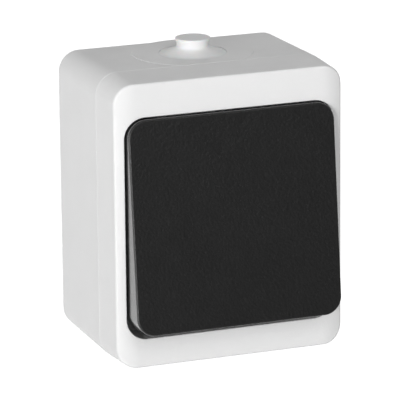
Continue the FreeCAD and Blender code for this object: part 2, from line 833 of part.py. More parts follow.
def make_screws(name, places, level, head_radius, head_height, shank_radius, shank_length):
    """Makes a group of screws with cross recesses, their heads standing on one depth."""
    body = new_body(name)
    heads = new_sketch(body, FRONT, level)
    for place in places:
        draw_circle(heads, place, head_radius)
    pad_forward(body, heads, head_height)
    shanks = new_sketch(body, FRONT, level + head_height / 2)
    for place in places:
        draw_circle(shanks, place, shank_radius)
    pad_backward(body, shanks, shank_length + head_height / 2)
    top = (level + head_height).number
    bevel_edges(body, head_height / 4, lambda edge: lies_at(edge, 1, -top))
    depth = size.recess_depth * head_height / size.cover_screw_head_height
    reach = size.recess_length * head_radius / size.cover_screw_head_radius
    for width, height in ((reach, size.recess_width), (size.recess_width, reach)):
        recess = new_sketch(body, FRONT, level + head_height)
        for place in places:
            draw_rectangle(recess, width, height, place)
        cut_backward(body, recess, depth)
    return body


def make_screw_seals():
    """Rings under the heads of the cover screws."""
    body = new_body("screw_seals")
    sketch = new_sketch(body, FRONT, floor_front)
    for place in screw_places:
        draw_circle(sketch, place, size.cover_screw_head_radius)
        draw_circle(sketch, place, size.cover_screw_radius + size.thread_fit)
    pad_forward(body, sketch, size.screw_seal_thickness)
    return body


def make_rocker():
    """Rocker: large cap with a skirt, a seat for the cradle and four hooks that hold it."""
    body = new_body("rocker")
    face = new_sketch(body, FRONT, size.pivot_setback)
    draw_rounded_rectangle(face, rocker_width, rocker_height, size.rocker_radius)
    pad_backward(body, face, size.skirt_depth)
    round_edges(body, size.rocker_edge_radius,
                lambda edge: lies_at(edge, 1, -size.pivot_setback.number))
    hollow = new_sketch(body, FRONT, size.pivot_setback - size.skirt_depth)
    draw_rounded_rectangle(hollow, rocker_width - 2 * size.rocker_wall,
                           rocker_height - 2 * size.rocker_wall,
                           size.rocker_radius - size.rocker_wall)
    cut_forward(body, hollow, size.skirt_depth - size.rocker_plate)

    root = size.pivot_setback - size.rocker_plate / 2
    seat = new_sketch(body, FRONT, root)
    seat_width = 2 * cheek_outer
    seat_height = size.cradle_height - 2 * size.seat_inset
    draw_rectangle(seat, seat_width, seat_height)
    draw_rectangle(seat, seat_width - 2 * size.ring_wall, seat_height - 2 * size.ring_wall)
    pad_backward(body, seat, size.cradle_front - size.rocker_plate / 2)
    for side in (-1, 1):
        rib = new_sketch(body, FRONT, root)
        draw_rectangle(rib, size.rocker_rib_width, rocker_height - size.rocker_wall,
                       (side * size.rocker_rib_place, 0))
        pad_backward(body, rib, size.rocker_plate / 2 + size.rocker_rib_height)
        bar = new_sketch(body, FRONT, root)
        draw_rectangle(bar, rocker_width - size.rocker_wall, size.rocker_rib_width,
                       (0, side * size.rocker_rib_place))
        pad_backward(body, bar, size.rocker_plate / 2 + size.rocker_rib_height)

    for side in (-1, 1):
        for end in (-1, 1):
            hook = new_sketch(body, SIDE, side * size.hook_place)
            draw_hook(hook, end)
            pad_forward(body, hook, size.hook_width, both_ways=True)
    place_body(body, pivot_depth, axis_level, -size.rocker_tilt)
    return body


def draw_hook(sketch, end):
    """Draws the side view of a hook, at the upper (1) or the lower (-1) edge of the cradle."""
    face = size.cradle_height / 2
    near = face + size.hook_fit
    far = near + size.hook_thickness
    root = -(size.pivot_setback - size.rocker_plate / 2)
    catch = -(size.pivot_setback - cradle_back - size.hook_fit)
    tip = catch + size.barb_height
    points = [(root, end * near), (catch, end * near), (catch, end * (face - size.barb_reach)),
              (tip, end * near), (tip, end * far), (root, end * far)]
    draw_outline(sketch, points)


def make_rocker_carrier():
    """Cradle: plate, two cheeks with trunnions, and the hollow stem that guides the plunger."""
    body = new_body("rocker_carrier")
    plate = new_sketch(body, FRONT, size.pivot_setback - size.cradle_front)
    draw_rectangle(plate, 2 * cheek_outer, size.cradle_height)
    pad_backward(body, plate, size.cradle_plate)
    under = size.pivot_setback - cradle_back
    root = under + size.cradle_plate / 2
    cheek = new_sketch(body, SIDE, cheek_outer)
    radius = size.cheek_radius
    draw_outline(cheek, [(-root, -radius), (0, -radius), (radius, 0), (0, radius), (-root, radius)],
                 arcs={1: radius, 2: radius})
    cheek_pad = pad_backward(body, cheek, size.cheek_thickness)
    trunnion = new_sketch(body, SIDE, cheek_outer - size.cheek_thickness / 2)
    draw_circle(trunnion, (0, 0), size.trunnion_radius)
    trunnion_pad = pad_forward(body, trunnion, size.cheek_thickness / 2 + size.trunnion_length)
    mirror(body, [cheek_pad, trunnion_pad], SIDE)
    web = new_sketch(body, FRONT, root)
    draw_rectangle(web, 2 * cheek_outer - size.cheek_thickness, size.cradle_web)
    pad_backward(body, web, root)
    stem = new_sketch(body, FRONT, root)
    draw_circle(stem, (0, 0), size.stem_radius)
    pad_backward(body, stem, root + size.stem_reach)
    bore = new_sketch(body, FRONT, -size.stem_reach)
    draw_circle(bore, (0, 0), size.stem_bore_radius)
    cut_forward(body, bore, size.stem_reach + under - size.stem_cap)
    place_body(body, pivot_depth, axis_level, -size.rocker_tilt)
    return body


def make_spring_plunger():
    """Plunger: guide in the stem's bore and a round tip on the blade."""
    body = new_body("spring_plunger")
    top = size.stem_reach - size.plunger_guide
    guide = new_sketch(body, FRONT, -top)
    draw_circle(guide, (0, 0), size.stem_bore_radius - size.plunger_fit)
    pad_backward(body, guide, size.plunger_guide)
    blade_front = blade_axis_depth + size.blade_rise + size.blade_thickness
    reach = pivot_depth - blade_front - size.plunger_gap
    tip = new_sketch(body, FRONT, -top)
    draw_circle(tip, (0, 0), size.plunger_tip_radius)
    pad_backward(body, tip, reach - top)
    end = reach.number
    round_edges(body, size.plunger_tip_radius - size.plunger_gap, lambda edge: lies_at(edge, 1, end))
    place_body(body, pivot_depth, axis_level, -size.rocker_tilt)
    return body


def make_plunger_spring():
    """Coil spring between the closed end of the stem and the plunger."""
    under = size.pivot_setback - cradle_back
    first = under - size.stem_cap - size.spring_wire_radius
    last = size.plunger_guide - size.stem_reach + size.spring_wire_radius
    helix = doc.addObject("Part::Helix", "spring_line")
    helix.Radius = size.spring_radius.number
    helix.setExpression("Radius", size.spring_radius.text)
    helix.setExpression("Height", (first - last).text)
    helix.setExpression("Pitch", ((first - last) / size.spring_turns).text)
    helix.Height = (first - last).number
    helix.Pitch = ((first - last) / size.spring_turns).number
    wire = doc.addObject("Part::RegularPolygon", "spring_section")
    wire.Polygon = int(size.spring_wire_sides.number)
    wire.setExpression("Polygon", size.spring_wire_sides.text)
    wire.Circumradius = size.spring_wire_radius.number
    wire.setExpression("Circumradius", size.spring_wire_radius.text)
    wire.Placement = FreeCAD.Placement(FreeCAD.Vector(size.spring_radius.number, 0, 0),
                                       FreeCAD.Rotation(FreeCAD.Vector(1, 0, 0), 90))
    wire.setExpression("Placement.Base.x", size.spring_radius.text)
    sweep = doc.addObject("Part::Sweep", "plunger_spring")
    sweep.Label = "plunger_spring"
    sweep.Sections = [wire]
    sweep.Spine = (helix, ["Edge1"])
    sweep.Solid = True
    sweep.Frenet = True
    doc.recompute()
    # The helix climbs along its own Z, which is turned to point to the front of the stem
    tilt = size.rocker_tilt
    down = pivot_depth + last * cosine(tilt)
    up = axis_level + last * sine(tilt)
    spin = FreeCAD.Rotation(FreeCAD.Vector(1, 0, 0), 90.0 - tilt.number)
    sweep.Placement = FreeCAD.Placement(FreeCAD.Vector(0, -down.number, up.number), spin)
    sweep.setExpression("Placement.Base.y", (-down).text)
    sweep.setExpression("Placement.Base.z", up.text)
    sweep.setExpression("Placement.Rotation.Angle", f"(90 - {tilt.text}) * 1 deg")
    parts.append(sweep)
    return sweep


def make_bearing_frame():
    """Head of the mechanism: spigot, flange, and the two ears that carry the trunnions."""
    body = new_body("bearing_frame")
    middle = (0, axis_level)
    spigot = new_sketch(body, FRONT, housing_front - size.spigot_length)
    draw_rounded_rectangle(spigot, housing_width - 2 * size.housing_wall - 2 * size.spigot_fit,
                           chamber_height - 2 * size.spigot_fit, size.head_radius, middle)
    pad_forward(body, spigot, size.spigot_length + size.flange_thickness / 2)
    flange = new_sketch(body, FRONT, housing_front)
    draw_rounded_rectangle(flange, housing_width,
                           chamber_height + 2 * size.flange_overlap, size.head_radius, middle)
    pad_forward(body, flange, size.flange_thickness)
    head = new_sketch(body, FRONT, housing_front + size.flange_thickness / 2)
    draw_rounded_rectangle(head, bearing_width, bearing_height, size.head_radius, middle)
    pad_forward(body, head, head_front - housing_front - size.flange_thickness / 2)

    ear_inner = cheek_outer + size.ear_play
    low, high = axis_level - size.ear_radius, axis_level + size.ear_radius
    root = head_front - size.head_pocket_depth
    for side in (-1, 1):
        ear = new_sketch(body, SIDE, side * (ear_inner + size.ear_thickness / 2))
        nose = -(pivot_depth + size.ear_radius)
        draw_outline(ear, [(-root, low), (-root, high), (-pivot_depth, high), (nose, axis_level),
                           (-pivot_depth, low)], arcs={2: size.ear_radius, 3: size.ear_radius})
        pad_forward(body, ear, size.ear_thickness, both_ways=True)
    pocket = new_sketch(body, FRONT, head_front)
    draw_rectangle(pocket, 2 * ear_inner, size.head_pocket_height, middle)
    cut_backward(body, pocket, size.head_pocket_depth)
    slot = new_sketch(body, FRONT, head_front)
    draw_rectangle(slot, size.stem_slot_width, size.stem_slot_height, middle)
    cut_backward(body, slot, 2 * (head_front - housing_front + size.spigot_length))
    bore = new_sketch(body, SIDE)
    draw_circle(bore, (-pivot_depth, axis_level), size.trunnion_radius + size.trunnion_fit)
    cut_backward(body, bore, 2 * housing_width, both_ways=True)
    return body


def make_aperture_seal():
    """Rubber frame that grips the edge of the floor and closes on the head."""
    body = new_body("aperture_seal")
    middle = (0, axis_level)
    inner_width = bearing_width + 2 * size.seal_fit
    inner_height = bearing_height + 2 * size.seal_fit
    rear = floor_back - size.seal_lip_thickness
    depth = size.floor_thickness + 2 * size.seal_lip_thickness
    lips = ((rear, size.seal_lip_thickness - size.seal_fit, size.seal_lip),
            (rear, depth, -size.seal_fit),
            (floor_front + size.seal_fit, size.seal_lip_thickness - size.seal_fit, size.seal_lip))
    for start, length, reach in lips:
        ring = new_sketch(body, FRONT, start)
        draw_rounded_rectangle(ring, aperture_width + 2 * reach, aperture_height + 2 * reach,
                               size.head_radius, middle)
        draw_rounded_rectangle(ring, inner_width, inner_height, size.head_radius, middle)
        pad_forward(body, ring, length)
    return body


def make_mechanism_housing():
    """Housing: contact chamber, terminal bays above and below it, and two fixing lugs."""
    body = new_body("mechanism_housing")
    middle = (0, axis_level)
    block = new_sketch(body, FRONT, housing_rear)
    draw_rounded_rectangle(block, housing_width, housing_height, size.housing_radius, middle)
    pad_forward(body, block, size.housing_depth)
    lugs = new_sketch(body, FRONT, lug_depth)
    draw_rounded_rectangle(lugs, housing_width + 2 * size.lug_reach, size.lug_height,
                           size.housing_radius, middle)
    pad_backward(body, lugs, size.lug_thickness)

    inner_width = housing_width - 2 * size.housing_wall
    chamber = new_sketch(body, FRONT, housing_front)
    draw_rectangle(chamber, inner_width, chamber_height, middle)
    cut_backward(body, chamber, size.housing_depth - size.housing_back)
    bays = new_sketch(body, FRONT, housing_front)
    for end in (-1, 1):
        place = (0, axis_level + end * (partition_half + size.bay_height / 2))
        draw_rectangle(bays, inner_width, size.bay_height, place)
    cut_backward(body, bays, housing_front - strip_back)

    root = housing_rear + size.housing_back / 2
    ledges = new_sketch(body, FRONT, root)
    draw_span(ledges, -strip_width, strip_width,
              axis_level + size.strip_inner, axis_level + partition_half)
    draw_span(ledges, -(strip_place + strip_width / 2), tab_reach,
              axis_level - partition_half, axis_level - size.strip_inner)
    pad_forward(body, ledges, strip_back - root)
    rest = new_sketch(body, FRONT, root)
    draw_span(rest, -(size.fork_inner + size.fork_thickness), strip_place + strip_width / 2,
              axis_level - size.fork_half_height, axis_level + size.fork_half_height)
    pad_forward(body, rest, common_depth - size.strip_thickness - root)
    divider = new_sketch(body, FRONT, strip_back - size.strip_thickness)
    draw_span(divider, -size.bay_divider / 2, size.bay_divider / 2,
              axis_level - housing_height / 2 + size.housing_wall / 2,
              axis_level - partition_half + size.housing_wall / 2)
    pad_forward(body, divider, size.strip_thickness + size.wire_door_height)

    slots = new_sketch(body, FRONT, strip_front + size.strip_fit)
    half = strip_width / 2 + size.strip_fit
    draw_span(slots, -half, half, axis_level + chamber_half - size.strip_fit,
              axis_level + partition_half + size.strip_fit)
    for side in (-1, 1):
        draw_span(slots, side * strip_place - half, side * strip_place + half,
                  axis_level - partition_half - size.strip_fit,
                  axis_level - chamber_half + size.strip_fit)
    cut_backward(body, slots, size.strip_thickness + size.strip_fit)
    wells = new_sketch(body, FRONT, strip_back)
    for place in terminal_places:
        draw_circle(wells, place, size.terminal_screw_radius + size.plunger_fit)
    cut_backward(body, wells, size.terminal_screw_tail + size.plunger_fit)

    lower_doors = new_sketch(body, LEVEL, axis_level)
    for side in (-1, 1):
        draw_door(lower_doors, side * strip_place)
    cut_backward(body, lower_doors, housing_height)
    upper_door = new_sketch(body, LEVEL, axis_level)
    draw_door(upper_door, as_size(0.0))
    cut_forward(body, upper_door, housing_height)

    holes = new_sketch(body, FRONT, lug_depth)
    for place in post_places:
        draw_circle(holes, place, size.mechanism_screw_radius + size.cover_screw_fit)
    cut_backward(body, holes, 2 * size.lug_thickness)
    return body


def draw_door(sketch, across):
    """Draws, in plan, the way for a wire into a terminal bay, seen along the wire."""
    near = -strip_front
    far = near - size.wire_door_height
    half = size.wire_door_width / 2
    draw_outline(sketch, [(across - half, far), (across + half, far),
                          (across + half, near), (across - half, near)])


def draw_span(sketch, left, right, low, high):
    """Draws a rectangle by its four sides."""
    draw_outline(sketch, [(left, low), (right, low), (right, high), (left, high)])


def make_contact_blade():
    """See-saw blade: channel strip, knife edge across its middle and a contact at each end."""
    body = new_body("contact_blade")
    strip = new_sketch(body, FRONT, size.blade_rise)
    draw_rectangle(strip, size.blade_width, 2 * size.blade_half_length)
    pad_forward(body, strip, size.blade_thickness)
    flanges = new_sketch(body, FRONT, size.blade_rise)
    for side in (-1, 1):
        across = side * (size.blade_width - size.blade_flange_thickness) / 2
        draw_rectangle(flanges, size.blade_flange_thickness, size.blade_flange_length, (across, 0))
    pad_forward(body, flanges, size.blade_thickness + size.blade_flange_height)
    knife = new_sketch(body, SIDE)
    top = size.blade_rise + size.blade_thickness / 2
    spread = top * tangent(size.knife_half_angle)
    draw_outline(knife, [(0, 0), (-top, spread), (-top, -spread)])
    pad_forward(body, knife, size.knife_width, both_ways=True)
    contacts = new_sketch(body, FRONT, size.blade_rise + size.blade_thickness / 2)
    for end in (-1, 1):
        draw_circle(contacts, (0, end * size.contact_place), size.contact_radius)
    pad_backward(body, contacts, size.contact_height + size.blade_thickness / 2)
    face = (size.contact_height - size.blade_rise).number
    bevel_edges(body, size.contact_bevel, lambda edge: lies_at(edge, 1, face))
    place_body(body, blade_axis_depth, axis_level, size.blade_tilt)
    return body


def add_fixed_contact(body, across, up):
    """Adds a round contact on the front of a strip."""
    sketch = new_sketch(body, FRONT, strip_front - size.strip_thickness / 2)
    draw_circle(sketch, (across, up), size.contact_radius)
    pad_forward(body, sketch, size.strip_thickness / 2 + size.fixed_contact_height)
    face = -(strip_front + size.fixed_contact_height).number
    bevel_edges(body, size.contact_bevel, lambda edge: lies_at(edge, 1, face))


def add_thread(body, place):
    """Cuts the hole of a terminal screw in a strip."""
    sketch = new_sketch(body, FRONT, strip_front)
    draw_circle(sketch, place, size.terminal_screw_radius + size.thread_fit)
    cut_backward(body, sketch, 2 * size.strip_thickness)


def make_upper_terminal():
    """Strip from the upper contact to the upper bay."""
    body = new_body("upper_terminal")
    strip = new_sketch(body, FRONT, strip_back)
    draw_span(strip, -strip_width / 2, strip_width / 2,
              axis_level + size.strip_inner, axis_level + strip_end)
    pad_forward(body, strip, size.strip_thickness)
    add_fixed_contact(body, as_size(0.0), axis_level + contact_level)
    add_thread(body, terminal_places[0])
    return body


def make_lower_terminal():
    """Cranked strip from the lower contact to the left place of the lower bay."""
    body = new_body("lower_terminal")
    strip = new_sketch(body, FRONT, strip_back)
    left = -(strip_place + strip_width / 2)
    right = -(strip_place - strip_width / 2)
    inner = axis_level - size.strip_inner
    step = axis_level - chamber_half + size.strip_end_gap
    end = axis_level - strip_end
    draw_outline(strip, [(left, end), (right, end), (right, step), (tab_reach, step),
                         (tab_reach, inner), (left, inner)])
    pad_forward(body, strip, size.strip_thickness)
    add_fixed_contact(body, as_size(0.0), axis_level - contact_level)
    add_thread(body, terminal_places[1])
    return body


def make_common_terminal():
    """Strip from the right place of the lower bay to the fork that the blade rocks on."""
    body = new_body("common_terminal")
    left = strip_place - strip_width / 2
    right = strip_place + strip_width / 2
    low = common_depth - size.strip_thickness
    thick = size.strip_thickness
    bend = axis_level - chamber_half + size.strip_end_gap
    step = strip_front - common_depth
    end = axis_level - strip_end
    top = axis_level + size.fork_half_height
    run = new_sketch(body, SIDE, left)
    draw_outline(run, [(-strip_front, end), (-strip_back, end), (-strip_back, bend - thick),
                       (-low, bend + step - thick), (-low, top), (-common_depth, top),
                       (-common_depth, bend + step), (-strip_front, bend)])
    pad_forward(body, run, strip_width)
    outer = size.fork_inner + size.fork_thickness
    arm = new_sketch(body, FRONT, low)
    draw_span(arm, -outer, (left + right) / 2, axis_level - size.fork_half_height, top)
    pad_forward(body, arm, size.strip_thickness)
    apex = blade_axis_depth - size.notch_gap
    tip = blade_axis_depth + size.notch_rise
    spread = (tip - apex) * tangent(size.notch_half_angle)
    bottom = axis_level - size.fork_half_height
    for inner in (-outer, size.fork_inner):
        fork = new_sketch(body, SIDE, inner)
        draw_outline(fork, [(-low, bottom), (-low, top), (-tip, top), (-tip, axis_level + spread),
                            (-apex, axis_level), (-tip, axis_level - spread), (-tip, bottom)])
        pad_forward(body, fork, size.fork_thickness)
    add_thread(body, terminal_places[2])
    return body


def make_clamp_plates():
    """Saddle washers under the heads of the terminal screws."""
    body = new_body("clamp_plates")
    level = strip_front + size.wire_gap
    sketch = new_sketch(body, FRONT, level)
    for place in terminal_places:
        draw_rectangle(sketch, size.saddle_size, size.saddle_size, place)
        draw_circle(sketch, place, size.terminal_screw_radius + size.thread_fit)
    pad_forward(body, sketch, size.saddle_thickness)
    return body


def make_earth_terminal():
    """Brass block with one wire bore along it and two screw holes into the bore."""
    body = new_body("earth_terminal")
    block = new_sketch(body, FRONT, earth_floor)
    draw_rectangle(block, size.earth_width, size.earth_length, (-earth_across, size.earth_up))
    pad_forward(body, block, size.earth_height)
    bore = new_sketch(body, LEVEL, size.earth_up)
    draw_circle(bore, (-earth_across, -(earth_floor + size.earth_bore_level)),
                size.earth_bore_radius)
    cut_backward(body, bore, 2 * size.earth_length, both_ways=True)
    holes = new_sketch(body, FRONT, earth_top)
    for place in earth_places:
        draw_circle(holes, place, size.earth_screw_radius + size.thread_fit)
    cut_backward(body, holes, size.earth_height - size.earth_bore_level)
    return body


make_base_box()
make_cable_grommet()
make_front_cover()
make_cover_gasket()
make_screws("cover_screws", screw_places, floor_front + size.screw_seal_thickness,
            size.cover_screw_head_radius, size.cover_screw_head_height,
            size.cover_screw_radius, size.cover_screw_length)
make_screw_seals()
make_rocker()
make_rocker_carrier()
make_spring_plunger()
make_plunger_spring()
make_bearing_frame()
make_aperture_seal()
make_mechanism_housing()
make_screws("mechanism_screws", post_places, lug_depth,
            size.mechanism_screw_head_radius, size.mechanism_screw_head_height,
            size.mechanism_screw_radius, size.mechanism_screw_length)
make_contact_blade()
make_upper_terminal()
make_lower_terminal()
make_common_terminal()
make_clamp_plates()
make_screws("terminal_screws", terminal_places, strip_front + size.wire_gap + size.saddle_thickness,
            size.terminal_screw_head_radius, size.terminal_screw_head_height,
            size.terminal_screw_radius,
            size.wire_gap + size.saddle_thickness + size.strip_thickness + size.terminal_screw_tail)
make_earth_terminal()
make_screws("earth_screws", earth_places, earth_top, size.earth_screw_head_radius,
            size.earth_screw_head_height, size.earth_screw_radius,
            size.earth_height - size.earth_bore_level - size.earth_bore_radius)

doc.recompute()
for item in doc.Objects:
    if "Invalid" in item.State or "Error" in item.State:
        raise RuntimeError(f"{item.Name} of {item.TypeId} has failed: {item.State}")
os.makedirs("parts", exist_ok=True)
bad = [part.Label for part in parts if part.Shape.isNull() or not part.Shape.isValid()]
if bad:
    raise RuntimeError(f"no valid shape: {', '.join(bad)}")
for part in parts:
    part.Shape.exportStep(f"parts/{part.Label}.step")
    print(f"{part.Label}: {len(part.Shape.Solids)} solid(s), {part.Shape.Volume:.1f} mm3")
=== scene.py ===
"""Finishes, fine pieces, light and camera of a weatherproof rocker switch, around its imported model."""

import json
import logging
import math
from dataclasses import dataclass, field
from enum import Enum

import bmesh
import bpy
from mathutils import Matrix, Vector


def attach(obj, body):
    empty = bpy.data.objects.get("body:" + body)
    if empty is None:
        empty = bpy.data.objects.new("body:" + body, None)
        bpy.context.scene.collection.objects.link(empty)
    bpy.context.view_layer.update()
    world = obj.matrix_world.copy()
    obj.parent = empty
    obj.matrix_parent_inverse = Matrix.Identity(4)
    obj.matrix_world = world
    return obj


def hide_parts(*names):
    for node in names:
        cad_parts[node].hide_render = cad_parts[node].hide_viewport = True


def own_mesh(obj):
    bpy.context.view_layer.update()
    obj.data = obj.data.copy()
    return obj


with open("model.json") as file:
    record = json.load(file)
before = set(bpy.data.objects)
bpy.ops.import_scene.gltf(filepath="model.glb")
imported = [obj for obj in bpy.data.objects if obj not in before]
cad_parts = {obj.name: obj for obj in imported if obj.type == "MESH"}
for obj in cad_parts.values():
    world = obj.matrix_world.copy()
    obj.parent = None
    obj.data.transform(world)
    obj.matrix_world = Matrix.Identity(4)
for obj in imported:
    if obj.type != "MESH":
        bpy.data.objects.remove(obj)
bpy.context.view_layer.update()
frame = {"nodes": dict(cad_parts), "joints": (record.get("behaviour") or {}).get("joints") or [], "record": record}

LOG = logging.getLogger("switch")
MM = 0.001
WHITE = (1.0, 1.0, 1.0, 1.0)

Colour = tuple[float, float, float]
Socket = bpy.types.NodeSocket
Ring = list[bmesh.types.BMVert]


class Slot(Enum):
    """Material slots of the record."""

    GREY_PLASTIC = "grey_plastic"
    ENTRY_RUBBER = "entry_rubber"
    BLACK_PLASTIC = "black_plastic"
    DARK_RUBBER = "dark_rubber"
    INSERT_PLASTIC = "insert_plastic"
    CARRIER_PLASTIC = "carrier_plastic"
    PLUNGER_PLASTIC = "plunger_plastic"
    STEEL = "steel"
    SPRING_STEEL = "spring_steel"
    CONTACT_METAL = "contact_metal"
    BRASS = "brass"


class Body(Enum):
    """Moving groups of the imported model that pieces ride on."""

    HOUSING = "housing"
    ROCKER = "rocker"


def joint(name: str) -> dict:
    """Gives the row of one of the model's joints."""
    return next(row for row in frame["joints"] if row["name"] == name)


def map_range(tree: bpy.types.NodeTree, value: Socket, low: float, high: float,
              start: float, end: float, easing: str = "LINEAR") -> Socket:
    """Adds a node that maps a value to a range.

    Args:
        tree: The nodes that it joins.
        value: The socket of the value.
        low: What the value start becomes.
        high: What the value end becomes.
        start: The lower end of the values.
        end: The upper end of the values.
        easing: How the result goes from low to high, in the node's own word.

    Returns:
        The socket of the result.
    """
    node = tree.nodes.new("ShaderNodeMapRange")
    node.interpolation_type = easing
    for key, number in (("From Min", start), ("From Max", end), ("To Min", low), ("To Max", high)):
        node.inputs[key].default_value = number
    tree.links.new(value, node.inputs["Value"])
    return node.outputs["Result"]


class ShaderGraph:
    """A new material and the few kinds of node that the finishes of this switch share."""

    def __init__(self, name: str) -> None:
        """Makes the material with one Principled shader.

        Args:
            name: The name of the material.
        """
        self.material = bpy.data.materials.new(name)
        self.material.use_nodes = True
        self.tree = self.material.node_tree
        self.shader = self.tree.nodes["Principled BSDF"]
        place = self.tree.nodes.new("ShaderNodeTexCoord")
        self.place = place.outputs["Object"]

    def set(self, **values: object) -> None:
        """Sets sockets of the shader, named with underscores for spaces.

        Args:
            values: The value of each socket.
        """
        for key, value in values.items():
            self.shader.inputs[key.replace("_", " ")].default_value = value

    def noise(self, size: float, detail: float = 3.0, roughness: float = 0.5,
              stretch: tuple[float, float, float] = (1.0, 1.0, 1.0)) -> Socket:
        """Adds a noise.

        Args:
            size: The size of its lumps, in metres.
            detail: The number of finer layers.
            roughness: The strength of the finer layers.
            stretch: How much closer the lumps stand along each axis.

        Returns:
            The socket of its value, from 0 to 1.
        """
        mapping = self.tree.nodes.new("ShaderNodeMapping")
        mapping.inputs["Scale"].default_value = stretch
        self.tree.links.new(self.place, mapping.inputs["Vector"])
        node = self.tree.nodes.new("ShaderNodeTexNoise")
        node.inputs["Scale"].default_value = 1.0 / size
        node.inputs["Detail"].default_value = detail
        node.inputs["Roughness"].default_value = roughness
        self.tree.links.new(mapping.outputs["Vector"], node.inputs["Vector"])
        return node.outputs["Fac"]

    def cells(self, size: float) -> Socket:
        """Adds a field of small round cells.

        Args:
            size: The distance between cells, in metres.

        Returns:
            The socket of the distance from the middle of the nearest cell.
        """
        node = self.tree.nodes.new("ShaderNodeTexVoronoi")
        node.feature = "SMOOTH_F1"
        node.inputs["Scale"].default_value = 1.0 / size
        self.tree.links.new(self.place, node.inputs["Vector"])
        return node.outputs["Distance"]

    def spread(self, value: Socket, low: float, high: float, start: float = 0.3,
               end: float = 0.7) -> Socket:
        """Maps a value to a range, if nothing else is said from where most of a noise lies.

        Args:
            value: The socket of the value.
            low: What the value start becomes.
            high: What the value end becomes.
            start: The lower end of the values.
            end: The upper end of the values.

        Returns:
            The socket of the result.
        """
        return map_range(self.tree, value, low, high, start, end)

    def combine(self, operation: str, first: Socket, second: Socket) -> Socket:
        """Combines two values.

        Args:
            operation: What is done with them, such as ADD or MULTIPLY.
            first: The one value.
            second: The other value.

        Returns:
            The socket of the result.
        """
        node = self.tree.nodes.new("ShaderNodeMath")
        node.operation = operation
        self.tree.links.new(first, node.inputs[0])
        self.tree.links.new(second, node.inputs[1])
        return node.outputs["Value"]

    def tones(self, value: Socket, dark: Colour, light: Colour) -> None:
        """Colours the shader between two tones.

        Args:
            value: The socket that chooses the tone, from 0 to 1.
            dark: The colour at 0.
            light: The colour at 1.
        """
        node = self.tree.nodes.new("ShaderNodeMix")
        node.data_type = "RGBA"
        node.inputs["A"].default_value = (*dark, 1.0)
        node.inputs["B"].default_value = (*light, 1.0)
        self.tree.links.new(value, node.inputs["Factor"])
        self.tree.links.new(node.outputs["Result"], self.shader.inputs["Base Color"])

    def roughen(self, value: Socket) -> None:
        """Drives the shader's roughness with a value."""
        self.tree.links.new(value, self.shader.inputs["Roughness"])

    def bump(self, *layers: tuple[Socket, float]) -> None:
        """Drives the shader's normal with layers of relief.

        Args:
            layers: For each layer its height from 0 to 1 and the depth that 1 stands for, in metres.
        """
        before = None
        for height, depth in layers:
            node = self.tree.nodes.new("ShaderNodeBump")
            node.inputs["Distance"].default_value = depth
            self.tree.links.new(height, node.inputs["Height"])
            if before is not None:
                self.tree.links.new(before, node.inputs["Normal"])
            before = node.outputs["Normal"]
        self.tree.links.new(before, self.shader.inputs["Normal"])


def toned(colour: Colour, factor: float) -> Colour:
    """Gives a lighter or darker tone of a colour."""
    return tuple(min(1.0, channel * factor) for channel in colour)


@dataclass(frozen=True)
class MouldedPlastic:
    """Injection-moulded plastic with a spark-eroded grain.

    Sizes and depths are in metres.

    Attributes:
        slot: The material slot that it belongs to.
        colour: Its mean colour.
        gloss_low: Roughness of its smoother places.
        gloss_high: Roughness of its duller places.
        gloss_patch: Size of those places.
        specular: Strength of its reflection, 0.5 being that of plain plastic.
        grain: Size of the grain.
        grain_depth: Depth of the grain.
        pit: Distance between the grain's round pits, in grains.
        wave: Size of the long waves left by moulding.
        flow: Depth of those waves.
        mottle: How far its tone strays from the mean.
        cloud: Size of the clouds in its tone.
        speck: Size of the specks in its tone, in grains.
        speck_share: How much of the mottle the specks make up.
        polish: Strength of the mirror-like skin that a polished mould leaves.
        polish_roughness: Roughness of that skin.
        place: What part of the slot's plastic it is for, where not all.
    """

    slot: Slot
    colour: Colour
    gloss_low: float
    gloss_high: float
    gloss_patch: float = 0.006
    specular: float = 0.5
    grain: float = 0.00035
    grain_depth: float = 0.00001
    pit: float = 1.6
    wave: float = 0.018
    flow: float = 0.00002
    mottle: float = 0.02
    cloud: float = 0.011
    speck: float = 2.2
    speck_share: float = 0.4
    polish: float = 0.0
    polish_roughness: float = 0.12
    place: str = ""

    def build(self) -> bpy.types.Material:
        """Makes the material.

        Returns:
            The material.
        """
        graph = ShaderGraph(self.slot.value + self.place)
        graph.set(Specular_IOR_Level=self.specular, Coat_Weight=self.polish,
                  Coat_Roughness=self.polish_roughness)
        cloud = graph.spread(graph.noise(self.cloud, detail=4.0), 0.0, 1 - self.speck_share)
        speck = graph.spread(graph.noise(self.grain * self.speck, detail=2.0), 0.0, self.speck_share)
        graph.tones(graph.combine("ADD", cloud, speck),
                    toned(self.colour, 1 - self.mottle), toned(self.colour, 1 + self.mottle))
        patch = graph.noise(self.gloss_patch, detail=5.0)
        graph.roughen(graph.spread(patch, self.gloss_low, self.gloss_high))
        grain = graph.combine("ADD", graph.noise(self.grain, detail=3.0, roughness=0.6),
                              graph.cells(self.grain * self.pit))
        graph.bump((graph.noise(self.wave, detail=1.0), self.flow), (grain, self.grain_depth))
        return graph.material


